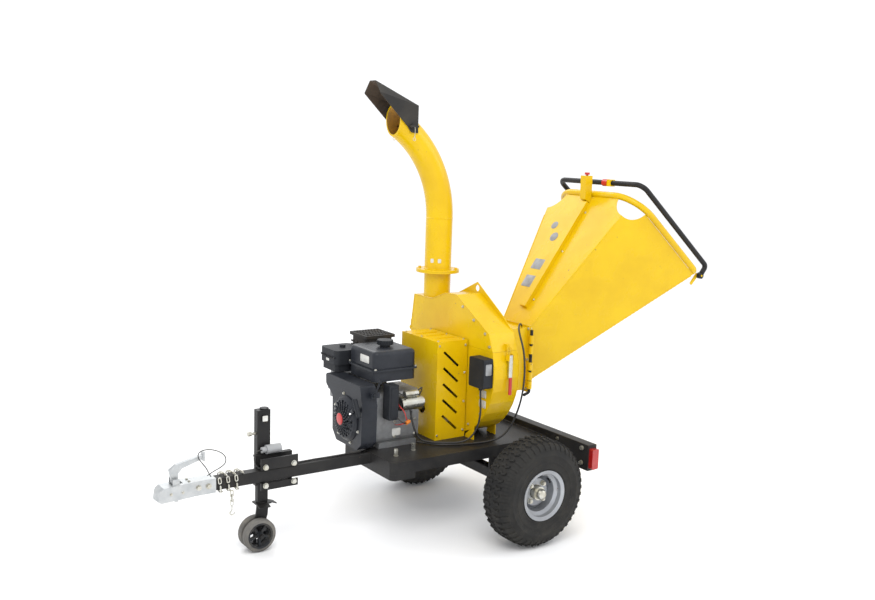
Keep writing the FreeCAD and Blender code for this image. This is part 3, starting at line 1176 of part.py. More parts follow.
def deflector_plates(shell):
    """The flap's plates one by one: two walls, the back, and the three facets of the roof."""
    y, back, front, tall = CHUTE_Y, -179.0, -420.0, (0, 0, 600)
    walls = [shell.common(box(front, -100, y + a, y + b, 1650, 2100)) for a, b in ((-75, -71), (71, 75))]
    rest = shell.common(box(front, -100, y - 71, y + 71, 1650, 2100))
    rear = rest.common(box(back, -100, y - 75, y + 75, 1650, 2100))
    rest = rest.cut(box(back, -100, y - 75, y + 75, 1600, 2100))
    run = (-388.0 + 176.0) / (74.0 - 27.0)
    far = 27.0 + (front + 388.0) / run
    middle = plate([(-176, y - 74, 1600), (front, y - far, 1600), (front, y + far, 1600), (-176, y + 74, 1600)], tall)
    roof = rest.common(middle)
    facets = rest.cut(middle)
    return walls + [rear, roof] + facets.Solids


def deflector():
    """The folded black flap over the chute's end, with its two pivot bolts and wing knobs."""
    outer = deflector_shell(0.0, 0.0, 0.0)
    inner = deflector_shell(3.0, 3.4, 3.0)
    shell = outer.cut(inner)
    y = CHUTE_Y
    below = plate([(-400, y - 90, 1650), (-400, y - 90, 1996), (-232, y - 90, 1836), (-215, y - 90, 1812),
                   (-160, y - 90, 1808), (-160, y - 90, 1650)], (0, 180, 0))
    shell = shell.cut(below)
    p = DEFLECTOR_PIVOT
    bolts = []
    for side in (-1, 1):
        start, end = y + side * 60.5, y + side * 84
        shank = rod((p.x, start, p.z), (p.x, end, p.z), 5)
        head = rod((p.x, y + side * 74, p.z), (p.x, y + side * 82, p.z), 13)
        wing = box(p.x - 24, p.x + 24, *sorted((y + side * 82, y + side * 90)), p.z - 5, p.z + 5)
        shell = shell.cut(rod((p.x, start, p.z), (p.x, end, p.z), 5))
        bolts.append(shank.fuse([head, wing]))
    return deflector_plates(shell) + bolts


# ---------------------------------------------------------------- cables
STOP_CABLE = [(222, -70, 909.5), (196, -96, 926), (160, -128, 930), (124, -168, 915), (102, -212, 884),
              (97, -244, 836), (97, -256, 776), (97, -259, 706), (97, -252, 636), (96, -234, 566),
              (90, -210, 500), (72, -190, 440), (34, -176, 404), (-22, -166, 393), (-88, -158, 391.8),
              (-158, -140, 392), (-226, -112, 391.8), (-290, -74, 393), (-340, -34, 402)]
SWITCH_CABLE = [(-84, -165, 645.5), (-84, -170, 590), (-88, -178, 530), (-98, -172, 470), (-124, -158, 420),
                (-170, -138, 401), (-230, -104, 400), (-296, -74, 403), (-348, -62, 422), (-372, -58, 470),
                (-380, -44, 520), (-380, -32, 557.5)]


def cord(points, radius, name):
    solid, radii, length = pipe(points, radius)
    print(name, "length", round(length), "radii", [round(r) for r in radii],
          "volume ratio", round(solid.Volume / (pi * radius ** 2 * length), 3))
    return solid


def wheels():
    for side, word in ((-1, "left"), (1, "right")):
        save("tyre_" + word, tyre(side))
        save("rim_" + word, *rim(side))
        save("hub_" + word, *hub(side))
    for side, word in ((-1, "near"), (1, "far")):
        hub_piece, tyre_piece = caster_wheel(side)
        save("caster_hub_" + word, hub_piece)
        save("caster_tyre_" + word, tyre_piece)


def main():
    os.makedirs("parts", exist_ok=True)
    save("drawbar", drawbar())
    save("base_tray", *base_tray())
    save("axle_beam", *axle_beam())
    save("rear_beam", *rear_beam())
    save("tail_lights", *tail_lights())
    save("bright_bolts", *bright_bolts())
    save("coupling_body", *coupling_body())
    save("coupling_lever", coupling_lever())
    save("ball_latch", ball_latch())
    save("safety_chain", *(safety_chain() + chain_hook()))
    save("breakaway_cable", cord(BREAKAWAY, 2.0, "breakaway wire"))
    save("light_plug", *light_plug())
    save("plug_cable", cord(PLUG_CABLE, CABLE_R, "plug cable"))
    save("jack_bracket", *jack_bracket())
    save("jack_tube", *jack_tube())
    save("jack_pin", jack_pin())
    save("jack_leg", *jack_leg())
    save("caster_fork", *caster_fork())
    wheels()
    save("engine_block", *engine_block())
    save("engine_shroud", engine_shroud(), throttle_bracket())
    save("recoil_cover", *recoil_cover())
    save("recoil_handle", recoil_handle())
    save("fuel_tank", fuel_tank())
    save("fuel_cap", fuel_cap())
    save("air_cleaner", air_cleaner())
    save("muffler", *muffler())
    save("carburettor", carburettor())
    save("control_boxes", *control_boxes())
    save("starter_motor", starter_motor())
    save("throttle_lever", throttle_lever())
    save("crank_pulley", crank_pulley())
    save("belt_guard", *belt_guard())
    save("drive_belts", *drive_belts())
    save("rotor_shaft", rotor_shaft())
    save("rotor_disc", rotor_disc())
    save("knives", *knives())
    save("rotor_bearings", *rotor_bearings())
    save("casing_lower", *(casing_lower() + [hood_hinge(), latch_base()]))
    save("casing_hood", *casing_hood())
    save("latch_lever", latch_lever())
    save("feed_box", *feed_box())
    save("hinge_rod", hinge_rod())
    save("chute_tube", *chute_tube())
    save("deflector", *deflector())
    save("hopper", *hopper())
    save("hopper_rim", hopper_rim())
    save("safety_bar", *safety_bar())
    save("stop_button", stop_button())
    save("stop_cable", cord(STOP_CABLE, 4.5, "stop cable"))
    save("engine_cables", cord(SWITCH_CABLE, 4.5, "switch cable"))


main()
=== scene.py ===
# %% [markdown]
# # A trailer-mounted wood chipper
# The machine is a small trailer that carries an engine, a belt drive, a round casing with a spinning
# disc, a funnel to feed branches in and a tall chute that throws the chips out. The frame that is
# loaded here already holds every part at its real size, so this lesson only adds looks: finishes,
# tread, fasteners, labels, cables and light.

# %% Load the frame
import json
import math

import bmesh
import bpy
from mathutils import Matrix, Vector


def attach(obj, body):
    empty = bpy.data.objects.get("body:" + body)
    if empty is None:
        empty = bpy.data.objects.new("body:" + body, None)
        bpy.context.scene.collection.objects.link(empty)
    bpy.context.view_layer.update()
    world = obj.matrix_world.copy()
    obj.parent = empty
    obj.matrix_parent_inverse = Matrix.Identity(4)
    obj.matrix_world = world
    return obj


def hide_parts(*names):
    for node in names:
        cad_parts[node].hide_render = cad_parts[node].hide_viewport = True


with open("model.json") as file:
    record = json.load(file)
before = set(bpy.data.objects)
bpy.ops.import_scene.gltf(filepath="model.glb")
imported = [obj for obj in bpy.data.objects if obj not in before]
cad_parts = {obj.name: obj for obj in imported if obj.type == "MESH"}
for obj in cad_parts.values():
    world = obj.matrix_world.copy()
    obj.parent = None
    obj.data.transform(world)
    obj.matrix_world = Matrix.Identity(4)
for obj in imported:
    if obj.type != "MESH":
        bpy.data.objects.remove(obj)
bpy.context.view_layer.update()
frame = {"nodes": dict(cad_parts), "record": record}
nodes = frame["nodes"]
AXLE_X = 0.1567


def axle(x, y, z):
    """A place given in millimetres from the axle line, in the frame's metres."""
    return Vector((AXLE_X + x / 1000, y / 1000, z / 1000))


# %% [markdown]
# ## Camera and light
# The camera stands at the front left of the trailer, at about head height, and looks
# slightly down. Its turn is built from yaw, pitch and roll, because those are the three things that a
# person holding a camera changes. Large soft lamps stand in for an open sky, so shiny paint shows
# broad reflections instead of hard spots.

# %% Camera
YAW, PITCH, ROLL = 0.6041, 0.1537, 0.0333
forward = Vector((math.sin(YAW) * math.cos(PITCH), math.cos(YAW) * math.cos(PITCH), -math.sin(PITCH)))
level = Vector((math.cos(YAW), -math.sin(YAW), 0))
upright = level.cross(forward)
right = level * math.cos(ROLL) + upright * math.sin(ROLL)
top = upright * math.cos(ROLL) - level * math.sin(ROLL)
camera_data = bpy.data.cameras.new("camera")
camera_data.lens = 40.57
camera_data.sensor_width = 36
camera = bpy.data.objects.new("camera", camera_data)
turn = Matrix((right, top, -forward)).transposed().to_4x4()
camera.matrix_world = Matrix.Translation((-2.61965, -3.69308, 1.74681)) @ turn
bpy.context.scene.collection.objects.link(camera)
bpy.context.scene.camera = camera
print("camera at", tuple(round(v, 3) for v in camera.location))


# %% Lamps and world
def lamp(name, place, target, size, power, colour):
    data = bpy.data.lights.new(name, "AREA")
    data.shape = "DISK"
    data.size = size
    data.energy = power
    data.color = colour
    item = bpy.data.objects.new(name, data)
    item.location = place
    item.rotation_euler = (Vector(target) - Vector(place)).to_track_quat("-Z", "Y").to_euler()
    bpy.context.scene.collection.objects.link(item)
    return item


lamp("sky_key", (-2.5, -3.2, 5.0), (0, 0, 0.8), 3.6, 150, (1.0, 0.985, 0.96))
lamp("sky_fill", (4.2, -2.8, 3.2), (0.2, 0, 0.8), 3.2, 45, (0.93, 0.96, 1.0))
lamp("sky_back", (0.5, 4.2, 4.2), (0, 0, 1.0), 3.2, 70, (1, 1, 1))
world = bpy.data.worlds.new("studio")
world.use_nodes = True
world.node_tree.nodes["Background"].inputs["Color"].default_value = (0.97, 0.98, 1.0, 1)
world.node_tree.nodes["Background"].inputs["Strength"].default_value = 1.12
bpy.context.scene.world = world
bpy.context.scene.view_settings.view_transform = "Standard"
print("three lamps and a pale world")

# %% [markdown]
# ## Finishes
# A working machine is never one flat colour. Each finish mixes a base colour with a second tone in
# broad clouds, breaks it with small chips, lays dust on the faces that look up and mud near the
# ground, and lets the same noise vary the roughness. A fine bump gives orange peel on paint, casting
# grain on metal and leather grain on plastic. The patterns read Object coordinates, so they stay on
# the part from every side.

# %% The recipe that all finishes share
DUST = (0.30, 0.265, 0.20, 1)


def add(tree, kind, **values):
    node = tree.nodes.new(kind)
    for key, value in values.items():
        setattr(node, key, value)
    return node


def clouds(tree, scale, detail=5.0, rough=0.6):
    noise = add(tree, "ShaderNodeTexNoise")
    noise.inputs["Scale"].default_value = scale
    noise.inputs["Detail"].default_value = detail
    noise.inputs["Roughness"].default_value = rough
    tree.links.new(tree.nodes["place"].outputs["Object"], noise.inputs["Vector"])
    return noise.outputs["Fac"]


def remap(tree, value, low, high, to_low=0.0, to_high=1.0):
    node = add(tree, "ShaderNodeMapRange")
    for name, number in (("From Min", low), ("From Max", high), ("To Min", to_low), ("To Max", to_high)):
        node.inputs[name].default_value = number
    tree.links.new(value, node.inputs["Value"])
    return node.outputs["Result"]


def times(tree, a, b):
    node = add(tree, "ShaderNodeMath", operation="MULTIPLY")
    tree.links.new(a, node.inputs[0])
    tree.links.new(b, node.inputs[1])
    return node.outputs[0]


def layer(tree, share, below, above):
    """above over below, as much as share says; each is a colour or another node's output."""
    node = add(tree, "ShaderNodeMix", data_type="RGBA")
    tree.links.new(share, node.inputs[0])
    for socket, source in ((node.inputs[6], below), (node.inputs[7], above)):
        if isinstance(source, bpy.types.NodeSocket):
            tree.links.new(source, socket)
        else:
            socket.default_value = (*source[:3], 1)
    return node.outputs[2]


def finish(name, base, second, roughness, metallic=0.0, chips=None, grain=300.0, relief=0.05, dust=0.35,
           mud=0.5, coat=0.0, cloud=5.0, spread=0.12, gloss=0.5):
    material = bpy.data.materials.new(name)
    material.use_nodes = True
    tree = material.node_tree
    shader = tree.nodes["Principled BSDF"]
    add(tree, "ShaderNodeTexCoord").name = "place"
    broad = clouds(tree, cloud)
    fine = clouds(tree, grain, 3.0)
    colour = layer(tree, remap(tree, broad, 0.35, 0.68), base, second)
    if chips:
        spots = remap(tree, clouds(tree, 34.0, 8.0, 0.72), 0.665, 0.69)
        colour = layer(tree, spots, colour, chips)
    facing = add(tree, "ShaderNodeSeparateXYZ")
    tree.links.new(add(tree, "ShaderNodeNewGeometry").outputs["Normal"], facing.inputs[0])
    settled = times(tree, remap(tree, facing.outputs["Z"], 0.25, 1.0, 0.0, dust * 0.4),
                    remap(tree, clouds(tree, 13.0, 8.0, 0.7), 0.36, 0.66))
    colour = layer(tree, settled, colour, DUST)
    height = add(tree, "ShaderNodeSeparateXYZ")
    tree.links.new(tree.nodes["place"].outputs["Object"], height.inputs[0])
    splash = times(tree, remap(tree, height.outputs["Z"], 0.55, 0.05, 0.0, mud * 0.35),
                   remap(tree, clouds(tree, 21.0, 9.0, 0.75), 0.47, 0.66))
    colour = layer(tree, splash, colour, DUST)
    tree.links.new(colour, shader.inputs["Base Color"])
    tree.links.new(remap(tree, broad, 0.3, 0.7, roughness - spread / 2, roughness + spread),
                   shader.inputs["Roughness"])
    shader.inputs["Metallic"].default_value = metallic
    shader.inputs["Specular IOR Level"].default_value = gloss
    shader.inputs["Coat Weight"].default_value = coat
    shader.inputs["Coat Roughness"].default_value = 0.12
    bump = add(tree, "ShaderNodeBump")
    bump.inputs["Strength"].default_value = relief
    bump.inputs["Distance"].default_value = 0.002
    tree.links.new(fine, bump.inputs["Height"])
    tree.links.new(bump.outputs["Normal"], shader.inputs["Normal"])
    return material


# %% Paints, metals, rubbers and plastics
PRIMER = (0.10, 0.075, 0.05)
paint = {
    "yellow": finish("yellow_gloss", (0.72, 0.475, 0.002), (0.64, 0.400, 0.002), 0.25,
                     chips=(0.26, 0.16, 0.05), grain=520, relief=0.03, dust=0.04, mud=0.1, coat=0.12,
                     gloss=0.25),
    # Inside of the chute: darker orange-brown clouds are painted shade inside the tube, and the primer chips
    # and dust are real wear.
    "yellow_painted_shade_and_wear": finish("yellow_inside_painted_shade_and_wear", (0.52, 0.27, 0.03), (0.20, 0.10, 0.03), 0.62, chips=PRIMER,
                           grain=240, relief=0.3, dust=0.5, cloud=11),
    "black": finish("black_powder_coat", (0.011, 0.011, 0.012), (0.026, 0.025, 0.024), 0.40,
                    chips=(0.09, 0.07, 0.05), grain=700, relief=0.10, dust=0.05, mud=0.15, gloss=0.2),
    "enamel": finish("engine_enamel", (0.012, 0.014, 0.019), (0.030, 0.033, 0.040), 0.33, grain=600,
                     relief=0.06, dust=0.05, coat=0.04, gloss=0.22),
    "flap": finish("flap_black", (0.014, 0.014, 0.015), (0.040, 0.036, 0.030), 0.46,
                   chips=(0.10, 0.07, 0.04), grain=420, relief=0.12, dust=0.10, gloss=0.25),
    "flap_inside": finish("flap_inside", (0.075, 0.050, 0.032), (0.030, 0.022, 0.016), 0.75,
                          chips=(0.14, 0.09, 0.05), grain=180, relief=0.4, cloud=9),
    "galvanised": finish("galvanised_steel", (0.44, 0.46, 0.47), (0.60, 0.61, 0.61), 0.42, 0.85, grain=240,
                         relief=0.10, dust=0.25, cloud=24, spread=0.2),
    "zinc": finish("bright_zinc", (0.62, 0.62, 0.58), (0.50, 0.47, 0.38), 0.28, 1.0, grain=600, relief=0.05,
                   dust=0.2, cloud=30),
    "alloy": finish("cast_alloy", (0.36, 0.37, 0.38), (0.24, 0.24, 0.24), 0.50, 0.9, grain=420, relief=0.30,
                    dust=0.4, cloud=14),
    "steel": finish("machined_steel", (0.30, 0.30, 0.31), (0.18, 0.17, 0.16), 0.36, 1.0, grain=500,
                    relief=0.08),
    "knife": finish("ground_steel", (0.62, 0.62, 0.63), (0.50, 0.49, 0.47), 0.22, 1.0, grain=900,
                    relief=0.04),
    "rim": finish("rim_silver", (0.40, 0.42, 0.45), (0.28, 0.29, 0.31), 0.36, 0.55,
                  chips=(0.16, 0.11, 0.07), grain=500, relief=0.08, mud=0.55, coat=0.2),
    "muffler": finish("hot_black", (0.020, 0.020, 0.020), (0.042, 0.034, 0.028), 0.62, 0.3, grain=260,
                      relief=0.3, dust=0.1, cloud=12),
    "tyre": finish("tyre_rubber", (0.012, 0.012, 0.012), (0.026, 0.025, 0.023), 0.72, grain=260,
                   relief=0.25, dust=0.08, mud=0.15, cloud=9, gloss=0.25),
    "caster": finish("caster_rubber", (0.15, 0.145, 0.135), (0.075, 0.07, 0.065), 0.75, grain=300,
                     relief=0.3, mud=0.8),
    "belt": finish("belt_rubber", (0.02, 0.02, 0.02), (0.04, 0.038, 0.035), 0.65, grain=400, relief=0.2),
    "plastic": finish("moulded_black", (0.012, 0.014, 0.018), (0.024, 0.026, 0.030), 0.47, grain=900,
                      relief=0.22, dust=0.06, gloss=0.2),
    "plug": finish("plug_grey", (0.36, 0.37, 0.38), (0.27, 0.275, 0.28), 0.45, grain=600, relief=0.1),
    "red": finish("red_plastic", (0.55, 0.018, 0.014), (0.40, 0.012, 0.010), 0.34, grain=700, relief=0.06,
                  coat=0.3),
    "lens": finish("red_lens", (0.42, 0.008, 0.008), (0.30, 0.006, 0.006), 0.16, grain=160, relief=0.2,
                   coat=0.7),
    "orange": finish("orange_plastic", (0.72, 0.20, 0.015), (0.55, 0.15, 0.01), 0.4, grain=600,
                     relief=0.06),
    "cable": finish("cable_sheath", (0.010, 0.010, 0.011), (0.022, 0.021, 0.020), 0.50, grain=900,
                    relief=0.1),
    "label_white": finish("label_white", (0.66, 0.66, 0.63), (0.52, 0.51, 0.47), 0.45, grain=300,
                          relief=0.02, cloud=30),
    "label_grey": finish("label_grey", (0.30, 0.31, 0.32), (0.20, 0.20, 0.20), 0.45, grain=300, relief=0.02,
                         cloud=30),
    "floor": finish("floor", (0.94, 0.94, 0.94), (0.93, 0.93, 0.93), 0.85, grain=60, relief=0.05, dust=0,
                    mud=0),
}
print(len(paint), "finishes")

# %% Give every frame part its finish
SLOT_PAINT = {
    "black_paint": "black", "yellow_paint": "yellow", "zinc": "zinc", "galvanised": "galvanised",
    "rim_silver": "rim", "tyre_rubber": "tyre", "caster_rubber": "caster", "black_plastic": "plastic",
    "grey_plastic": "plug", "red_plastic": "red", "lamp_red": "lens", "engine_black": "enamel",
    "engine_alloy": "alloy", "rotor_steel": "steel", "knife_steel": "knife", "belt_rubber": "belt",
    "cable_black": "cable",
}
for entry in frame["record"]["subparts"]:
    skin = nodes[entry["node"]].data.materials
    skin.clear()
    skin.append(paint[SLOT_PAINT[entry["material_slot"]]])


def repaint(node, finish_name, chosen=None):
    """Another finish for a node, or only for the faces chosen by their middle and normal."""
    mesh = nodes[node].data
    if chosen is None:
        mesh.materials[0] = paint[finish_name]
        return
    mesh.materials.append(paint[finish_name])
    for face in mesh.polygons:
        if chosen(face.center, face.normal):
            face.material_index = len(mesh.materials) - 1


def bend_out(place):
    """The way from the chute's middle line to a place on its bend."""
    centre = axle(13.5 - 526, 357, 1400)
    spoke = Vector((place.x - centre.x, 0, place.z - centre.z)).normalized()
    return (place - centre - spoke * 0.526).normalized()


repaint("muffler", "muffler")
repaint("deflector", "flap")
repaint("latch_lever", "zinc", lambda c, n: c.z > 0.711)
bar_line = axle(744, 0, 1598.3)


def round_the_bar(c):
    return math.hypot(c.x - bar_line.x, c.z - bar_line.z) > 0.0138


repaint("safety_bar", "red", lambda c, n: -0.0701 < c.y < -0.0339 and round_the_bar(c))
repaint("safety_bar", "yellow", lambda c, n: -0.0961 < c.y < -0.0719 and round_the_bar(c))
# Faces that look back into the chute's bend get the darker inside finish: painted shade, with chips and dust
# as wear.
repaint("chute_tube", "yellow_painted_shade_and_wear", lambda c, n: c.x < 0.06 and n.dot(bend_out(c)) < -0.5)
repaint("deflector", "flap_inside",
        lambda c, n: n.z < -0.3 or (abs(n.y) > 0.8 and abs(c.y - 0.357) < 0.072 and n.y * (c.y - 0.357) < 0))
print("painted", len(nodes), "parts")

# %% [markdown]
# ## Small shapes that are used all over
# Pads for labels, thin tubes for wires and weld beads, and shapes turned on a lathe come back many
# times. Each helper makes a closed mesh whose place is already in its points, gives it a finish and
# lets it ride on the body that carries it.

# %% Mesh helpers
def piece(name, mesh, finish_name, body):
    item = bpy.data.objects.new(name, mesh)
    bpy.context.scene.collection.objects.link(item)
    if finish_name:
        mesh.materials.clear()
        mesh.materials.append(paint[finish_name])
    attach(item, body)
    return item


def from_bmesh(name, work, smooth=True):
    bmesh.ops.remove_doubles(work, verts=work.verts, dist=1e-6)
    bmesh.ops.recalc_face_normals(work, faces=work.faces)
    mesh = bpy.data.meshes.new(name)
    work.to_mesh(mesh)
    work.free()
    if smooth:
        mesh.shade_smooth()
        mesh.set_sharp_from_angle(angle=math.radians(38))
    return mesh


def add_lathe(work, profile, centre, axis, steps=64, closed=False):
    """Turns (radius, along) points about an axis; an open profile starts and ends on the axis."""
    turn = Vector((0, 0, 1)).rotation_difference(Vector(axis)).to_matrix()
    rings = []
    for radius, along in profile:
        count = 1 if radius < 1e-9 else steps
        ring = []
        for k in range(count):
            angle = 2 * math.pi * k / steps
            spot = Vector((radius * math.cos(angle), radius * math.sin(angle), along))
            ring.append(work.verts.new(Vector(centre) + turn @ spot))
        rings.append(ring)
    pairs = list(zip(rings, rings[1:]))
    if closed:
        pairs.append((rings[-1], rings[0]))
    for a, b in pairs:
        for k in range(steps):
            corners = [a[k % len(a)], a[(k + 1) % len(a)], b[(k + 1) % len(b)], b[k % len(b)]]
            unique = list(dict.fromkeys(corners))
            if len(unique) > 2:
                work.faces.new(unique)


def add_tube(work, points, radius, sides=10, ends=True):
    """A round bar along a list of points, its rings kept from twisting."""
    points = [Vector(p) for p in points]
    side = (points[1] - points[0]).orthogonal().normalized()
    rings = []
    for k, point in enumerate(points):
        way = (points[min(k + 1, len(points) - 1)] - points[max(k - 1, 0)]).normalized()
        side = (side - way * side.dot(way)).normalized()
        up = way.cross(side)
        rings.append([work.verts.new(point + (side * math.cos(a) + up * math.sin(a)) * radius)
                      for a in (2 * math.pi * j / sides for j in range(sides))])
    for a, b in zip(rings, rings[1:]):
        for j in range(sides):
            work.faces.new((a[j], a[(j + 1) % sides], b[(j + 1) % sides], b[j]))
    if ends:
        work.faces.new(list(reversed(rings[0])))
        work.faces.new(rings[-1])


def curved(points, steps=8):
    """A smooth run through given points (Catmull-Rom)."""
    p = [Vector(q) for q in points]
    p = [p[0] * 2 - p[1]] + p + [p[-1] * 2 - p[-2]]
    run = []
    for k in range(1, len(p) - 2):
        for j in range(steps):
            t = j / steps
            run.append(0.5 * ((2 * p[k]) + (p[k + 1] - p[k - 1]) * t
                              + (2 * p[k - 1] - 5 * p[k] + 4 * p[k + 1] - p[k + 2]) * t * t
                              + (3 * p[k] - p[k - 1] - 3 * p[k + 1] + p[k + 2]) * t ** 3))
    return run + [p[-2]]


def add_pad(work, centre, out, up, width, height, thick=0.0008, corner=0.005):
    """A thin plate with round corners that stands on a surface; out is the surface's normal."""
    out, up = Vector(out).normalized(), Vector(up)
    up = (up - out * up.dot(out)).normalized()
    across = up.cross(out)
    outline = []
    for k in range(4):
        sx, sy = ((1, 1), (-1, 1), (-1, -1), (1, -1))[k]
        for j in range(5):
            a = math.pi / 2 * (k + j / 4)
            outline.append((sx * (width / 2 - corner) + corner * math.cos(a),
                            sy * (height / 2 - corner) + corner * math.sin(a)))
    layers = []
    for lift, shrink in ((0.0, 1.0), (thick * 0.7, 1.0), (thick, 0.985)):
        layers.append([work.verts.new(Vector(centre) + across * x * shrink + up * y * shrink + out * lift)
                       for x, y in outline])
    for a, b in zip(layers, layers[1:]):
        for k in range(20):
            work.faces.new((a[k], a[(k + 1) % 20], b[(k + 1) % 20], b[k]))
    work.faces.new(layers[-1])
    work.faces.new(list(reversed(layers[0])))


def pads(name, finish_name, body, rows):
    work = bmesh.new()
    for row in rows:
        add_pad(work, *row)
    return piece(name, from_bmesh(name, work), finish_name, body)


print("helpers ready")

# %% [markdown]
# ## Geometry Nodes for what repeats
# A tyre has dozens of knobs, a fan cover a ring of vanes and a casing a row of bolts. Copying them by
# hand would hide the rule, so two small trees hold it: one turns copies of a shape about an axis, the
# other stands copies on marked points. Both end by realising the copies into one mesh.

# %% A tree that turns copies about an axis
def new_tree(name, inputs):
    tree = bpy.data.node_groups.new(name, "GeometryNodeTree")
    tree.interface.new_socket("Geometry", in_out="OUTPUT", socket_type="NodeSocketGeometry")
    tree.interface.new_socket("Geometry", in_out="INPUT", socket_type="NodeSocketGeometry")
    for label, kind in inputs:
        tree.interface.new_socket(label, in_out="INPUT", socket_type=kind)
    return tree, add(tree, "NodeGroupInput"), add(tree, "NodeGroupOutput")


def finish_tree(tree, source, entry, leave):
    real = add(tree, "GeometryNodeRealizeInstances")
    coat = add(tree, "GeometryNodeSetMaterial")
    tree.links.new(source, real.inputs["Geometry"])
    tree.links.new(real.outputs["Geometry"], coat.inputs["Geometry"])
    tree.links.new(entry.outputs["Finish"], coat.inputs["Material"])
    tree.links.new(coat.outputs["Geometry"], leave.inputs["Geometry"])


ring_tree, entry, leave = new_tree("ring_of_copies", [
    ("Shape", "NodeSocketObject"), ("Count", "NodeSocketInt"), ("Finish", "NodeSocketMaterial")])
line = add(ring_tree, "GeometryNodeMeshLine")
shape = add(ring_tree, "GeometryNodeObjectInfo")
stand = add(ring_tree, "GeometryNodeInstanceOnPoints")
index = add(ring_tree, "GeometryNodeInputIndex")
step = add(ring_tree, "ShaderNodeMath", operation="DIVIDE")
angle = add(ring_tree, "ShaderNodeMath", operation="MULTIPLY")
spin = add(ring_tree, "ShaderNodeCombineXYZ")
angle.inputs[1].default_value = 2 * math.pi
line.inputs["Offset"].default_value = (0, 0, 0)
for a, b in ((entry.outputs["Count"], line.inputs["Count"]), (entry.outputs["Shape"], shape.inputs["Object"]),
             (line.outputs["Mesh"], stand.inputs["Points"]),
             (shape.outputs["Geometry"], stand.inputs["Instance"]),
             (index.outputs[0], step.inputs[0]), (entry.outputs["Count"], step.inputs[1]),
             (step.outputs[0], angle.inputs[0]), (angle.outputs[0], spin.inputs["Y"]),
             (spin.outputs[0], stand.inputs["Rotation"])):
    ring_tree.links.new(a, b)
finish_tree(ring_tree, stand.outputs["Instances"], entry, leave)
print("ring tree has", len(ring_tree.nodes), "nodes")

# %% A tree that stands copies on marked points
spot_tree, entry, leave = new_tree("copies_on_spots", [
    ("Shape", "NodeSocketObject"), ("Finish", "NodeSocketMaterial")])
shape = add(spot_tree, "GeometryNodeObjectInfo")
stand = add(spot_tree, "GeometryNodeInstanceOnPoints")
facing = add(spot_tree, "GeometryNodeInputNamedAttribute", data_type="FLOAT_VECTOR")
facing.inputs["Name"].default_value = "facing"
size = add(spot_tree, "GeometryNodeInputNamedAttribute", data_type="FLOAT")
size.inputs["Name"].default_value = "size"
aim = add(spot_tree, "FunctionNodeAlignRotationToVector", axis="Z")
for a, b in ((entry.outputs["Geometry"], stand.inputs["Points"]),
             (entry.outputs["Shape"], shape.inputs["Object"]),
             (shape.outputs["Geometry"], stand.inputs["Instance"]), (facing.outputs[0], aim.inputs["Vector"]),
             (aim.outputs[0], stand.inputs["Rotation"]), (size.outputs[0], stand.inputs["Scale"])):
    spot_tree.links.new(a, b)
finish_tree(spot_tree, stand.outputs["Instances"], entry, leave)
print("spot tree has", len(spot_tree.nodes), "nodes")


# %% Run a tree and keep its result as a plain mesh
def grown(name, tree, mesh, place=None, **inputs):
    """The mesh that the tree grows from a starting mesh, moved by place."""
    item = bpy.data.objects.new(name, mesh)
    bpy.context.scene.collection.objects.link(item)
    work = item.modifiers.new("grow", "NODES")
    work.node_group = tree
    for socket in tree.interface.items_tree:
        if socket.in_out == "INPUT" and socket.name in inputs:
            work[socket.identifier] = inputs[socket.name]
    bpy.context.view_layer.update()
    result = bpy.data.meshes.new_from_object(item.evaluated_get(bpy.context.evaluated_depsgraph_get()))
    bpy.data.objects.remove(item)
    if place:
        result.transform(place)
    result.shade_smooth()
    result.set_sharp_from_angle(angle=math.radians(35))
    return result


def pattern(name, work, smooth=False):
    """A shape that is only copied: it stays out of the scene."""
    return bpy.data.objects.new(name, from_bmesh(name, work, smooth))


def spots(rows):
    """A starting mesh of marked points, one for each (place, facing, size)."""
    mesh = bpy.data.meshes.new("spots")
    mesh.from_pydata([tuple(r[0]) for r in rows], [], [])
    mesh.attributes.new("facing", "FLOAT_VECTOR", "POINT").data.foreach_set(
        "vector", [v for r in rows for v in Vector(r[1]).normalized()])
    mesh.attributes.new("size", "FLOAT", "POINT").data.foreach_set("value", [r[2] for r in rows])
    return mesh


print("trees run through", grown.__name__)

# %% Bolt head on a washer, one unit across
bolt_work = bmesh.new()
add_lathe(bolt_work, [(0, 0), (1.0, 0), (1.0, 0.14), (0.93, 0.2), (0, 0.2)], (0, 0, 0), (0, 0, 1), 20)
add_lathe(bolt_work, [(0, 0.2), (0.76, 0.2), (0.76, 0.7), (0.64, 0.82), (0, 0.82)], (0, 0, 0), (0, 0, 1), 6)
bolt_shape = pattern("bolt_shape", bolt_work)


def bolts(name, finish_name, body, rows):
    mesh = grown(name, spot_tree, spots(rows), Shape=bolt_shape, Finish=paint[finish_name])
    return piece(name, mesh, None, body)


print("bolt has", len(bolt_shape.data.polygons), "faces")

# %% [markdown]
# ## Tyres
# A balloon tyre is a round carcass with rubber knobs moulded on. The carcass is turned from a profile
# that has the fine ridges of the side wall. The knobs are bent blocks in a zig-zag row on each side
# of the middle, with plain lugs that run over the shoulder. The ring tree copies them round.

# %% Carcass profile and knob shapes
TYRE_R = 0.245
WHEEL_Y = 0.472
outside = [(0.1016, 0.071), (0.1106, 0.0714), (0.114, 0.0745), (0.118, 0.0775), (0.1215, 0.079),
           (0.123, 0.0808), (0.126, 0.0808), (0.1275, 0.080), (0.150, 0.0828), (0.1515, 0.0842),
           (0.155, 0.0845), (0.1565, 0.0834), (0.178, 0.0848), (0.1795, 0.086), (0.183, 0.086),
           (0.1845, 0.0846), (0.205, 0.0815), (0.222, 0.0715), (0.231, 0.055), (0.2365, 0.030)]
inside = [(0.232, 0.0), (0.218, 0.069), (0.190, 0.077), (0.150, 0.074), (0.1176, 0.062), (0.1016, 0.058)]
carcass = outside + [(0.238, 0.0)] + [(r, -a) for r, a in reversed(outside)]
carcass += [(r, -a) for r, a in reversed(inside)] + inside[1:]


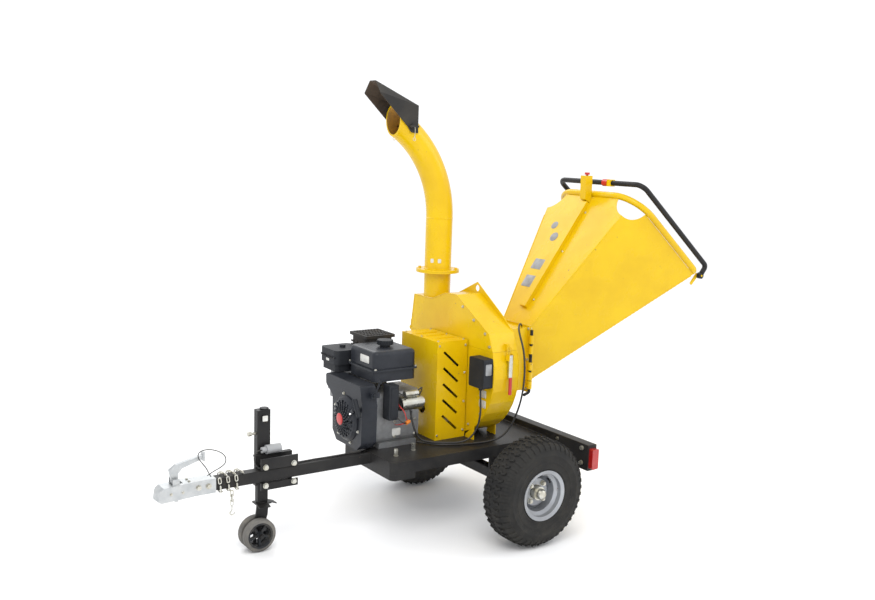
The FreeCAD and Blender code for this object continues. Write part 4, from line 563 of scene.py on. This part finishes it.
def crown(across):
    """How high the tread stands at a distance from the tyre's middle line."""
    return TYRE_R - 0.0014 - 0.55 * across * across - 55 * max(0.0, abs(across) - 0.046) ** 2.2


knob_work = bmesh.new()
for side in (-1, 1):
    shift = 0.0105 * side
    zigzag = [(side * 0.006, shift), (side * 0.020, shift + 0.008), (side * 0.034, shift - 0.001),
              (side * 0.050, shift + 0.007)]
    for (a0, l0), (a1, l1) in zip(zigzag, zigzag[1:]):
        line_part = [(a0, l0), (a1, l1)]
        work_rows = []
        for a, l in line_part:
            work_rows.append([knob_work.verts.new((l + s * w, a, z)) for s, w, z in
                              ((-1, 0.0062, 0.231), (1, 0.0062, 0.231), (1, 0.0048, crown(a)),
                               (-1, 0.0048, crown(a)))])
        a, b = work_rows
        for k in range(4):
            knob_work.faces.new((a[k], a[(k + 1) % 4], b[(k + 1) % 4], b[k]))
        knob_work.faces.new(list(reversed(a)))
        knob_work.faces.new(b)
    lug = [(0.055, 0.2335, 0.2300), (0.066, 0.2300, 0.2235), (0.0765, 0.2215, 0.2140),
           (0.0835, 0.2085, 0.2040)]
    lug_rows = []
    for across, high, low in lug:
        lug_rows.append([knob_work.verts.new((shift * 0.2 + s * w, side * (across - d), z)) for s, w, d, z in
                         ((-1, 0.0068, 0.006, low), (1, 0.0068, 0.006, low), (1, 0.0055, 0, high),
                          (-1, 0.0055, 0, high))])
    for a, b in zip(lug_rows, lug_rows[1:]):
        for k in range(4):
            knob_work.faces.new((a[k], a[(k + 1) % 4], b[(k + 1) % 4], b[k]))
    knob_work.faces.new(lug_rows[0])
    knob_work.faces.new(lug_rows[-1])
knob_shape = pattern("knob_shape", knob_work)
print("knob set has", len(knob_shape.data.polygons), "faces")

# %% Both tyres, with their valve stems
KNOBS = 44
for side, word in ((-1, "left"), (1, "right")):
    centre = Vector((AXLE_X, side * WHEEL_Y, TYRE_R))
    body_work = bmesh.new()
    add_lathe(body_work, carcass, centre, (0, 1, 0), 96, closed=True)
    tyre = piece("tyre_carcass_" + word, from_bmesh("carcass_" + word, body_work), "tyre", "wheel_" + word)
    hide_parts("tyre_" + word)
    tread_mesh = grown("tread_" + word, ring_tree, bpy.data.meshes.new("start"), Matrix.Translation(centre),
                       Shape=knob_shape, Count=KNOBS, Finish=paint["tyre"])
    piece("tread_" + word, tread_mesh, None, "wheel_" + word)
    stem_work = bmesh.new()
    foot = centre + Vector((0.046, side * 0.036, 0.058))
    out = Vector((0, side, 0))
    stem = curved([foot, foot + out * 0.012 + Vector((0.001, 0, 0.001)),
                   foot + out * 0.024 - Vector((0.004, 0, 0.005))])
    add_tube(stem_work, stem, 0.0036)
    add_tube(stem_work, [stem[-1], stem[-1] + (stem[-1] - stem[-2]).normalized() * 0.008], 0.0046)
    piece("valve_" + word, from_bmesh("valve_" + word, stem_work), "plastic", "wheel_" + word)
    print(word, "tread", len(tread_mesh.polygons), "faces")

# %% [markdown]
# ## Cables and the breakaway wire
# A cable is one flexible length, so each is a single smooth curve with a round section. Its control
# points lie where the cable is clipped, bends or rests on something, and the last point is where it
# enters its socket. A quadratic spline touches the middle of every leg, which is how a stiff sheath
# rounds its corners.

# %% The four routes, in millimetres from the axle line
ROUTES = {
    "breakaway": [(-1330, -20, 394), (-1341, -24, 412), (-1352, -26, 436), (-1372, -26, 462),
                  (-1388, -26, 486), (-1384, -27, 508), (-1352, -25, 514), (-1316, -16, 504),
                  (-1284, -10, 488), (-1262, -10, 466), (-1266, -20, 442), (-1294, -28, 428),
                  (-1326, -34, 420), (-1352, -38, 408)],
    "plug": [(-1086.3, 29, 455.2), (-1108, 29, 455.2), (-1124, 20, 436), (-1128, 4, 411), (-1122, -8, 394),
             (-1100, -12, 387.6), (-1062, -8, 386.8), (-1002, 2, 387), (-930, -6, 386.8), (-850, 6, 387),
             (-768, -4, 386.8), (-690, 5, 387), (-620, -2, 386.8)],
    "stop": [(222, -70, 909.5), (196, -96, 926), (160, -128, 930), (124, -168, 915), (102, -212, 884),
             (97, -244, 836), (97, -256, 776), (97, -259, 706), (97, -252, 636), (96, -234, 566),
             (90, -210, 500), (72, -190, 440), (34, -176, 404), (-22, -166, 393), (-88, -158, 391.8),
             (-158, -140, 392), (-226, -112, 391.8), (-290, -74, 393), (-340, -34, 402)],
    "switch": [(-84, -165, 645.5), (-84, -170, 590), (-88, -178, 530), (-98, -172, 470), (-124, -158, 420),
               (-170, -138, 401), (-230, -104, 400), (-296, -74, 403), (-348, -62, 422), (-372, -58, 470),
               (-380, -44, 520), (-380, -32, 557.5)],
}


def route_length(points):
    """Length of the quadratic spline that has these control points."""
    total, here = 0.0, points[0]
    for k in range(1, len(points) - 1):
        after = points[k + 1] if k == len(points) - 2 else (points[k] + points[k + 1]) / 2
        run = [here * (1 - t) ** 2 + points[k] * 2 * t * (1 - t) + after * t * t
               for t in (j / 24 for j in range(25))]
        total += sum((b - a).length for a, b in zip(run, run[1:]))
        here = after
    return total


def cable(name, route, radius, node):
    points = [axle(*p) for p in ROUTES[route]]
    data = bpy.data.curves.new(name, "CURVE")
    data.dimensions = "3D"
    data.bevel_depth = radius
    data.bevel_resolution = 4
    data.resolution_u = 14
    data.use_fill_caps = True
    spline = data.splines.new("NURBS")
    spline.points.add(len(points) - 1)
    for spot, place in zip(spline.points, points):
        spot.co = (*place, 1)
    spline.order_u = 3
    spline.use_endpoint_u = True
    item = bpy.data.objects.new(name, data)
    bpy.context.scene.collection.objects.link(item)
    data.materials.append(paint["cable"])
    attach(item, "chassis")
    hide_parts(node)
    length = route_length(points)
    print(name, round(length, 3), "m")


cable("breakaway_wire", "breakaway", 0.002, "breakaway_cable")
cable("plug_lead", "plug", 0.0032, "plug_cable")
cable("stop_lead", "stop", 0.0045, "stop_cable")
cable("switch_lead", "switch", 0.0045, "engine_cables")

# %% [markdown]
# ## The engine
# A small single-cylinder engine shows a slotted fan cover with a round badge, a tank held by bolts,
# a heat shield full of louvres over the muffler and a handful of wires. The vanes and louvres repeat,
# so the two trees make them; wires are short bent tubes.

# %% Fan cover: swept vanes and the round badge
vane_work = bmesh.new()
for k in range(5):
    radius = 0.040 + 0.0095 * k
    lean = 0.42 * (radius - 0.040) / 0.038
    place = Matrix.Rotation(lean, 4, "Y") @ Matrix.Translation((0, 0.0155 - 0.0030 * k, radius))
    bmesh.ops.create_cube(vane_work, size=1, matrix=place @ Matrix.Diagonal((0.0052, 0.009, 0.0115, 1)))
vane_shape = pattern("vane_shape", vane_work)
fan_middle = axle(-656, 95, 522)
to_front = Matrix.Translation(fan_middle) @ Matrix.Rotation(math.radians(90), 4, "Z")
vanes = grown("fan_vanes", ring_tree, bpy.data.meshes.new("start"), to_front, Shape=vane_shape, Count=20,
              Finish=paint["enamel"])
piece("fan_vanes", vanes, None, "chassis")
badge_work = bmesh.new()
add_lathe(badge_work, [(0, 0), (0.026, 0), (0.027, 0.0012), (0.025, 0.0026), (0.012, 0.0030), (0, 0.0031)],
          axle(-676.2, 95, 522), (-1, 0, 0), 48)
piece("fan_badge", from_bmesh("fan_badge", badge_work), "red", "chassis")
ring_work = bmesh.new()
add_lathe(ring_work, [(0.098, 0), (0.1035, 0), (0.1035, 0.004), (0.1005, 0.0052), (0.098, 0.004)],
          axle(-641, 95, 522), (-1, 0, 0), 72, closed=True)
piece("fan_rim", from_bmesh("fan_rim", ring_work), "enamel", "chassis")
print("fan cover has", len(vanes.polygons), "faces of vanes")

# %% Louvres over the muffler and on the air cleaner
louvre_work = bmesh.new()
arch = [(-0.5, 0.0), (-0.42, 0.30), (-0.2, 0.46), (0.2, 0.46), (0.42, 0.30), (0.5, 0.0)]
sides = [[louvre_work.verts.new((x * 0.010, y, z * 0.009)) for x, z in arch] for y in (-0.0125, 0.0125)]
for k in range(5):
    louvre_work.faces.new((sides[0][k], sides[0][k + 1], sides[1][k + 1], sides[1][k]))
for row in sides:
    louvre_work.faces.new(row)
louvre_work.faces.new((sides[0][0], sides[0][-1], sides[1][-1], sides[1][0]))
louvre_shape = pattern("louvre_shape", louvre_work)
rows = [(axle(-434 + 16 * i, 284 + 35 * j, 852), (0, 0, 1), 1.0) for i in range(9) for j in range(4)]
louvres = grown("heat_louvres", spot_tree, spots(rows), Shape=louvre_shape, Finish=paint["muffler"])
piece("heat_louvres", louvres, None, "chassis")
rows = [(axle(-446.2, 290 + 34 * j, 724 + 17 * i), (-1, 0, 0), 1.0) for i in range(6) for j in range(4)]
louvres = grown("heat_slots", spot_tree, spots(rows), Shape=louvre_shape, Finish=paint["muffler"])
piece("heat_slots", louvres, None, "chassis")
rows = [(axle(-614.2, 275 + 14 * k, 762), (-1, 0, 0), 0.9) for k in range(9)]
louvres = grown("filter_ribs", spot_tree, spots(rows), Shape=louvre_shape, Finish=paint["plastic"])
piece("filter_ribs", louvres, None, "chassis")
print("louvres done")

# %% Engine fasteners, pads, wires and the connector
engine_bolts = [(axle(-640.2, 95 + 112 * math.cos(a), 522 + 112 * math.sin(a)), (-1, 0, 0), 0.0075)
                for a in (math.radians(d) for d in (20, 75, 130, 200, 250, 310))]
engine_bolts += [(axle(x, y, 750), (0, 0, 1), 0.007) for x in (-546, -334) for y in (8, 238)]
engine_bolts += [(axle(-540.2, y, z), (-1, 0, 0), 0.007) for y in (303, 320) for z in (530, 658)]
engine_bolts += [(axle(x, 4.8, z), (0, -1, 0), 0.007) for x in (-545, -440, -330) for z in (430, 500)]
bolts("engine_bolts", "zinc", "chassis", engine_bolts)
pads("engine_label", "label_white", "chassis", [
    (axle(-430, 5, 452), (0, -1, 0), (0, 0, 1), 0.046, 0.034)])
pads("tank_plate", "label_white", "chassis", [
    (axle(-552.3, 95, 788), (-1, 0, 0), (0, 0, 1), 0.078, 0.034),
    (axle(-614.3, 333, 745), (-1, 0, 0), (0, 0, 1), 0.030, 0.012)])
wire_work = bmesh.new()
for run in ([(-456, -40, 650), (-440, -58, 640), (-416, -54, 622), (-412, -42, 634)],
            [(-470, -60, 540), (-452, -76, 520), (-420, -66, 510), (-392, -52, 520), (-384, -50, 558)],
            [(-552, 352, 640), (-530, 372, 650), (-480, 372, 668), (-452, 350, 678)],
            [(-350, -40, 645), (-330, -44, 660), (-322, -30, 640), (-326, -16, 612)]):
    add_tube(wire_work, curved([axle(*p) for p in run]), 0.0028)
piece("engine_wires", from_bmesh("engine_wires", wire_work), "cable", "chassis")
red_work = bmesh.new()
for run in ([(-452, -30, 600), (-448, -52, 585), (-430, -60, 560), (-420, -62, 530), (-410, -58, 514)],
            [(-440, 2, 486), (-432, -22, 492), (-418, -40, 500), (-404, -56, 508)]):
    add_tube(red_work, curved([axle(*p) for p in run]), 0.0022)
piece("red_wires", from_bmesh("red_wires", red_work), "red", "chassis")
joint_work = bmesh.new()
add_lathe(joint_work, [(0, 0), (0.008, 0), (0.009, 0.002), (0.009, 0.022), (0.007, 0.026), (0, 0.026)],
          axle(-424, -66, 509), (1, 0.3, 0.2), 8)
piece("wire_connector", from_bmesh("wire_connector", joint_work, False), "orange", "chassis")
print("engine dressed with", len(engine_bolts), "bolts")

# %% [markdown]
# ## Belt guard, casing and their seams
# Sheet-metal boxes are bolted along their flanges and welded along their folds. The bolts are copies
# of one head; a weld is a thin bead with the small waves that a welder leaves.

# %% Weld beads
def welds(name, finish_name, body, runs, radius=0.0022, pitch=0.008):
    work = bmesh.new()
    for first, last in runs:
        first, last = Vector(first), Vector(last)
        count = max(4, int((last - first).length / pitch))
        way = (last - first).normalized()
        side = way.orthogonal().normalized()
        path = [first.lerp(last, k / count) + side * (0.0006 * math.sin(k * 2.1)) for k in range(count + 1)]
        add_tube(work, path, radius, 6)
    return piece(name, from_bmesh(name, work), finish_name, body)


hood_line = [(477, 832), (450, 1008), (290, 1008), (180, 1050), (85, 1055), (-178, 908), (-212, 832)]
welds("hood_welds", "yellow", "hood",
      [(axle(-58.4, *a), axle(-58.4, *b)) for a, b in zip(hood_line, hood_line[1:])])
low_arc = [(95 - 326 * math.cos(a), 716 - 326 * math.sin(a))
           for a in (math.radians(d) for d in range(-18, 73, 9))]
welds("casing_welds", "yellow", "chassis",
      [(axle(x, *a), axle(x, *b)) for x in (-58.4, 85.4) for a, b in zip(low_arc, low_arc[1:])])
bolts("casing_bolts", "zinc", "chassis",
      [(axle(-58.2, 95 - 300 * math.cos(a), 716 - 300 * math.sin(a)), (-1, 0, 0), 0.0075)
       for a in (math.radians(d) for d in (-12, 40, 62))])
bolts("hood_bolts", "zinc", "hood",
      [(axle(-58.2, y, z), (-1, 0, 0), 0.0075) for y, z in ((-186, 850), (-150, 905), (-60, 955), (30, 1005))]
      + [(axle(85.2, y, z), (1, 0, 0), 0.0075)
         for y, z in ((-160, 860), (-120, 925), (150, 1040), (420, 980))])
bolts("guard_bolts", "zinc", "chassis",
      [(axle(-74, -23.2, z), (0, -1, 0), 0.0065) for z in (420, 560, 700, 832)]
      + [(axle(-74, 286.2, z), (0, 1, 0), 0.0065) for z in (420, 630, 832)]
      + [(axle(-222, -23.2, z), (0, -1, 0), 0.0055) for z in (410, 838)]
      + [(axle(x, y, 857.2), (0, 0, 1), 0.0055) for x in (-220, -76) for y in (-8, 132, 270)])
pads("guard_ribs", "yellow", "chassis",
     [(axle(-148, y, 857), (0, 0, 1), (1, 0, 0), 0.020, 0.120, 0.003, 0.009) for y in (60, 132, 204)])
pads("casing_labels", "label_white", "chassis",
     [(axle(-58.2, -150, z), (-1, 0, 0), (0, 0, 1), 0.052, 0.036) for z in (622, 574)])
pads("switch_plate", "label_grey", "chassis",
     [(axle(-85, -222.2, 752), (0, -1, 0), (0, 0, 1), 0.034, 0.052)])
print("casing dressed")

# %% [markdown]
# ## Hopper
# The funnel is four flat sheets welded at their edges, with a bolted throat flange. Its corners are
# worked out from the mouth and the throat, so labels and beads lie on the sheets whatever their
# slope.

# %% Hopper corners, welds, labels and bolts
MOUTH_W, THROAT_LOW_W, THROAT_HIGH_W = 301, 48, 107
mouth_low, mouth_high = (1171.5, 1154.6), (708.2, 1539.6)


def panel_point(low_share, run_share, side):
    """A place on a side sheet: 0 to 1 from its lower edge to its upper, and from throat to mouth."""
    low = axle(248, side * THROAT_LOW_W, 603).lerp(axle(mouth_low[0], side * MOUTH_W, mouth_low[1]),
                                                   run_share)
    high = axle(248, side * THROAT_HIGH_W, 911).lerp(axle(mouth_high[0], side * MOUTH_W, mouth_high[1]),
                                                     run_share)
    return low.lerp(high, low_share)


welds("hopper_welds", "yellow", "funnel",
      [(panel_point(share, 0.01, side), panel_point(share, end, side))
       for side in (-1, 1) for share, end in ((0, 0.97), (1, 0.80))], 0.0026)
top_way = (axle(708.2, 0, 1539.6) - axle(248, 0, 911)).normalized()
top_out = Vector((-top_way.z, 0, top_way.x))


def top_spot(x, y):
    share = (x - 248) / (708.2 - 248)
    return axle(x, y, 911 + share * (1539.6 - 911)) + top_out * 0.0003


pads("hopper_labels", "label_grey", "funnel",
     [(top_spot(386, 80), top_out, top_way, 0.092, 0.066),
      (top_spot(446, 86), top_out, top_way, 0.092, 0.060)])
pads("hopper_pads", "label_grey", "funnel",
     [(top_spot(545, 96), top_out, top_way, 0.052, 0.052, 0.0008, 0.025),
      (top_spot(585, 140), top_out, top_way, 0.044, 0.044, 0.0008, 0.021)])
bolts("duct_bolts", "zinc", "funnel",
      [(top_spot(x, y), top_out, 0.006) for x in (330, 500, 640) for y in (-24, 40)]
      + [(axle(247, y, z), (1, 0, 0), 0.007) for y in (-108, 108) for z in (612, 750, 900)])
bolts("feed_bolts", "zinc", "chassis",
      [(axle(233.8, y, z), (-1, 0, 0), 0.007) for y in (-109, 109) for z in (605, 750, 900)])
print("hopper sheets run to", tuple(round(v, 3) for v in panel_point(0, 1, -1)))

# %% [markdown]
# ## Chute, flap, jack and coupling
# The last details are small: ring welds and plain pads on the chute, retaining pins that hang from
# the flap's knobs, a blank sticker on the jack, and rivets on the coupling.

# %% Chute and flap
chute_axis = (13.5, 357)
ring_work = bmesh.new()
for z, grow in ((1147.5, 0.0030), (1400, 0.0016)):
    add_lathe(ring_work, [(0.066, -0.003), (0.0665 + grow, -0.001), (0.0665 + grow, 0.001), (0.066, 0.003)],
              axle(*chute_axis, z), (0, 0, 1), 64, closed=True)
piece("chute_welds", from_bmesh("chute_welds", ring_work), "yellow", "chute")
pads("chute_pads", "label_white", "chute",
     [(axle(13.5 - 66.6 * math.cos(a), 357 - 66.6 * math.sin(a), 1190), (-math.cos(a), -math.sin(a), 0),
       (0, 0, 1), 0.016, 0.020, 0.0012, 0.003)
      for a in (math.radians(30), math.radians(62))])
pin_work = bmesh.new()
for side in (-1, 1):
    y = 357 + side * 96
    hang = [(-205, y - side * 9, 1840), (-206, y - side * 2, 1826), (-205, y - side * 4, 1806),
            (-207, y - side * 5, 1786)]
    add_tube(pin_work, curved([axle(*p) for p in hang]), 0.0016, 8)
    eye = [axle(-207 + 7 * math.cos(t), y - side * 5, 1780 + 7 * math.sin(t))
           for t in (k * math.pi / 8 for k in range(17))]
    add_tube(pin_work, eye, 0.0014, 6, ends=False)
piece("flap_pins", from_bmesh("flap_pins", pin_work), "zinc", "flap")
print("chute dressed")

# %% Jack, coupling and drawbar
pads("jack_sticker", "label_white", "chassis",
     [(axle(-1065, 70 - 30.2, 588), (0, -1, 0), (0, 0, 1),
       0.024, 0.024, 0.0006, 0.003)])
bolts("coupling_rivets", "zinc", "chassis",
      [(axle(x, -34.1, 352), (0, -1, 0), 0.0062) for x in (-1500, -1452)]
      + [(axle(-1420, y, 388.1), (0, 0, 1), 0.006) for y in (-14, 14)])
welds("drawbar_welds", "black", "chassis",
      [(axle(-586, side * 26, 334), axle(-586, side * 26, 382)) for side in (-1, 1)]
      + [(axle(285, -218, z), axle(285, 218, z)) for z in (388, 336)], 0.003)
print("jack and coupling dressed")

# %% [markdown]
# ## The floor
# The looks must keep the size of the frame; this part only lays a plain floor under the trailer.

# %% Floor
floor_mesh = bpy.data.meshes.new("floor")
floor_mesh.from_pydata([(-30, -30, -0.002), (30, -30, -0.002), (30, 30, -0.002), (-30, 30, -0.002)], [],
                       [(0, 1, 2, 3)])
floor_mesh.materials.append(paint["floor"])
floor = bpy.data.objects.new("floor", floor_mesh)
bpy.context.scene.collection.objects.link(floor)
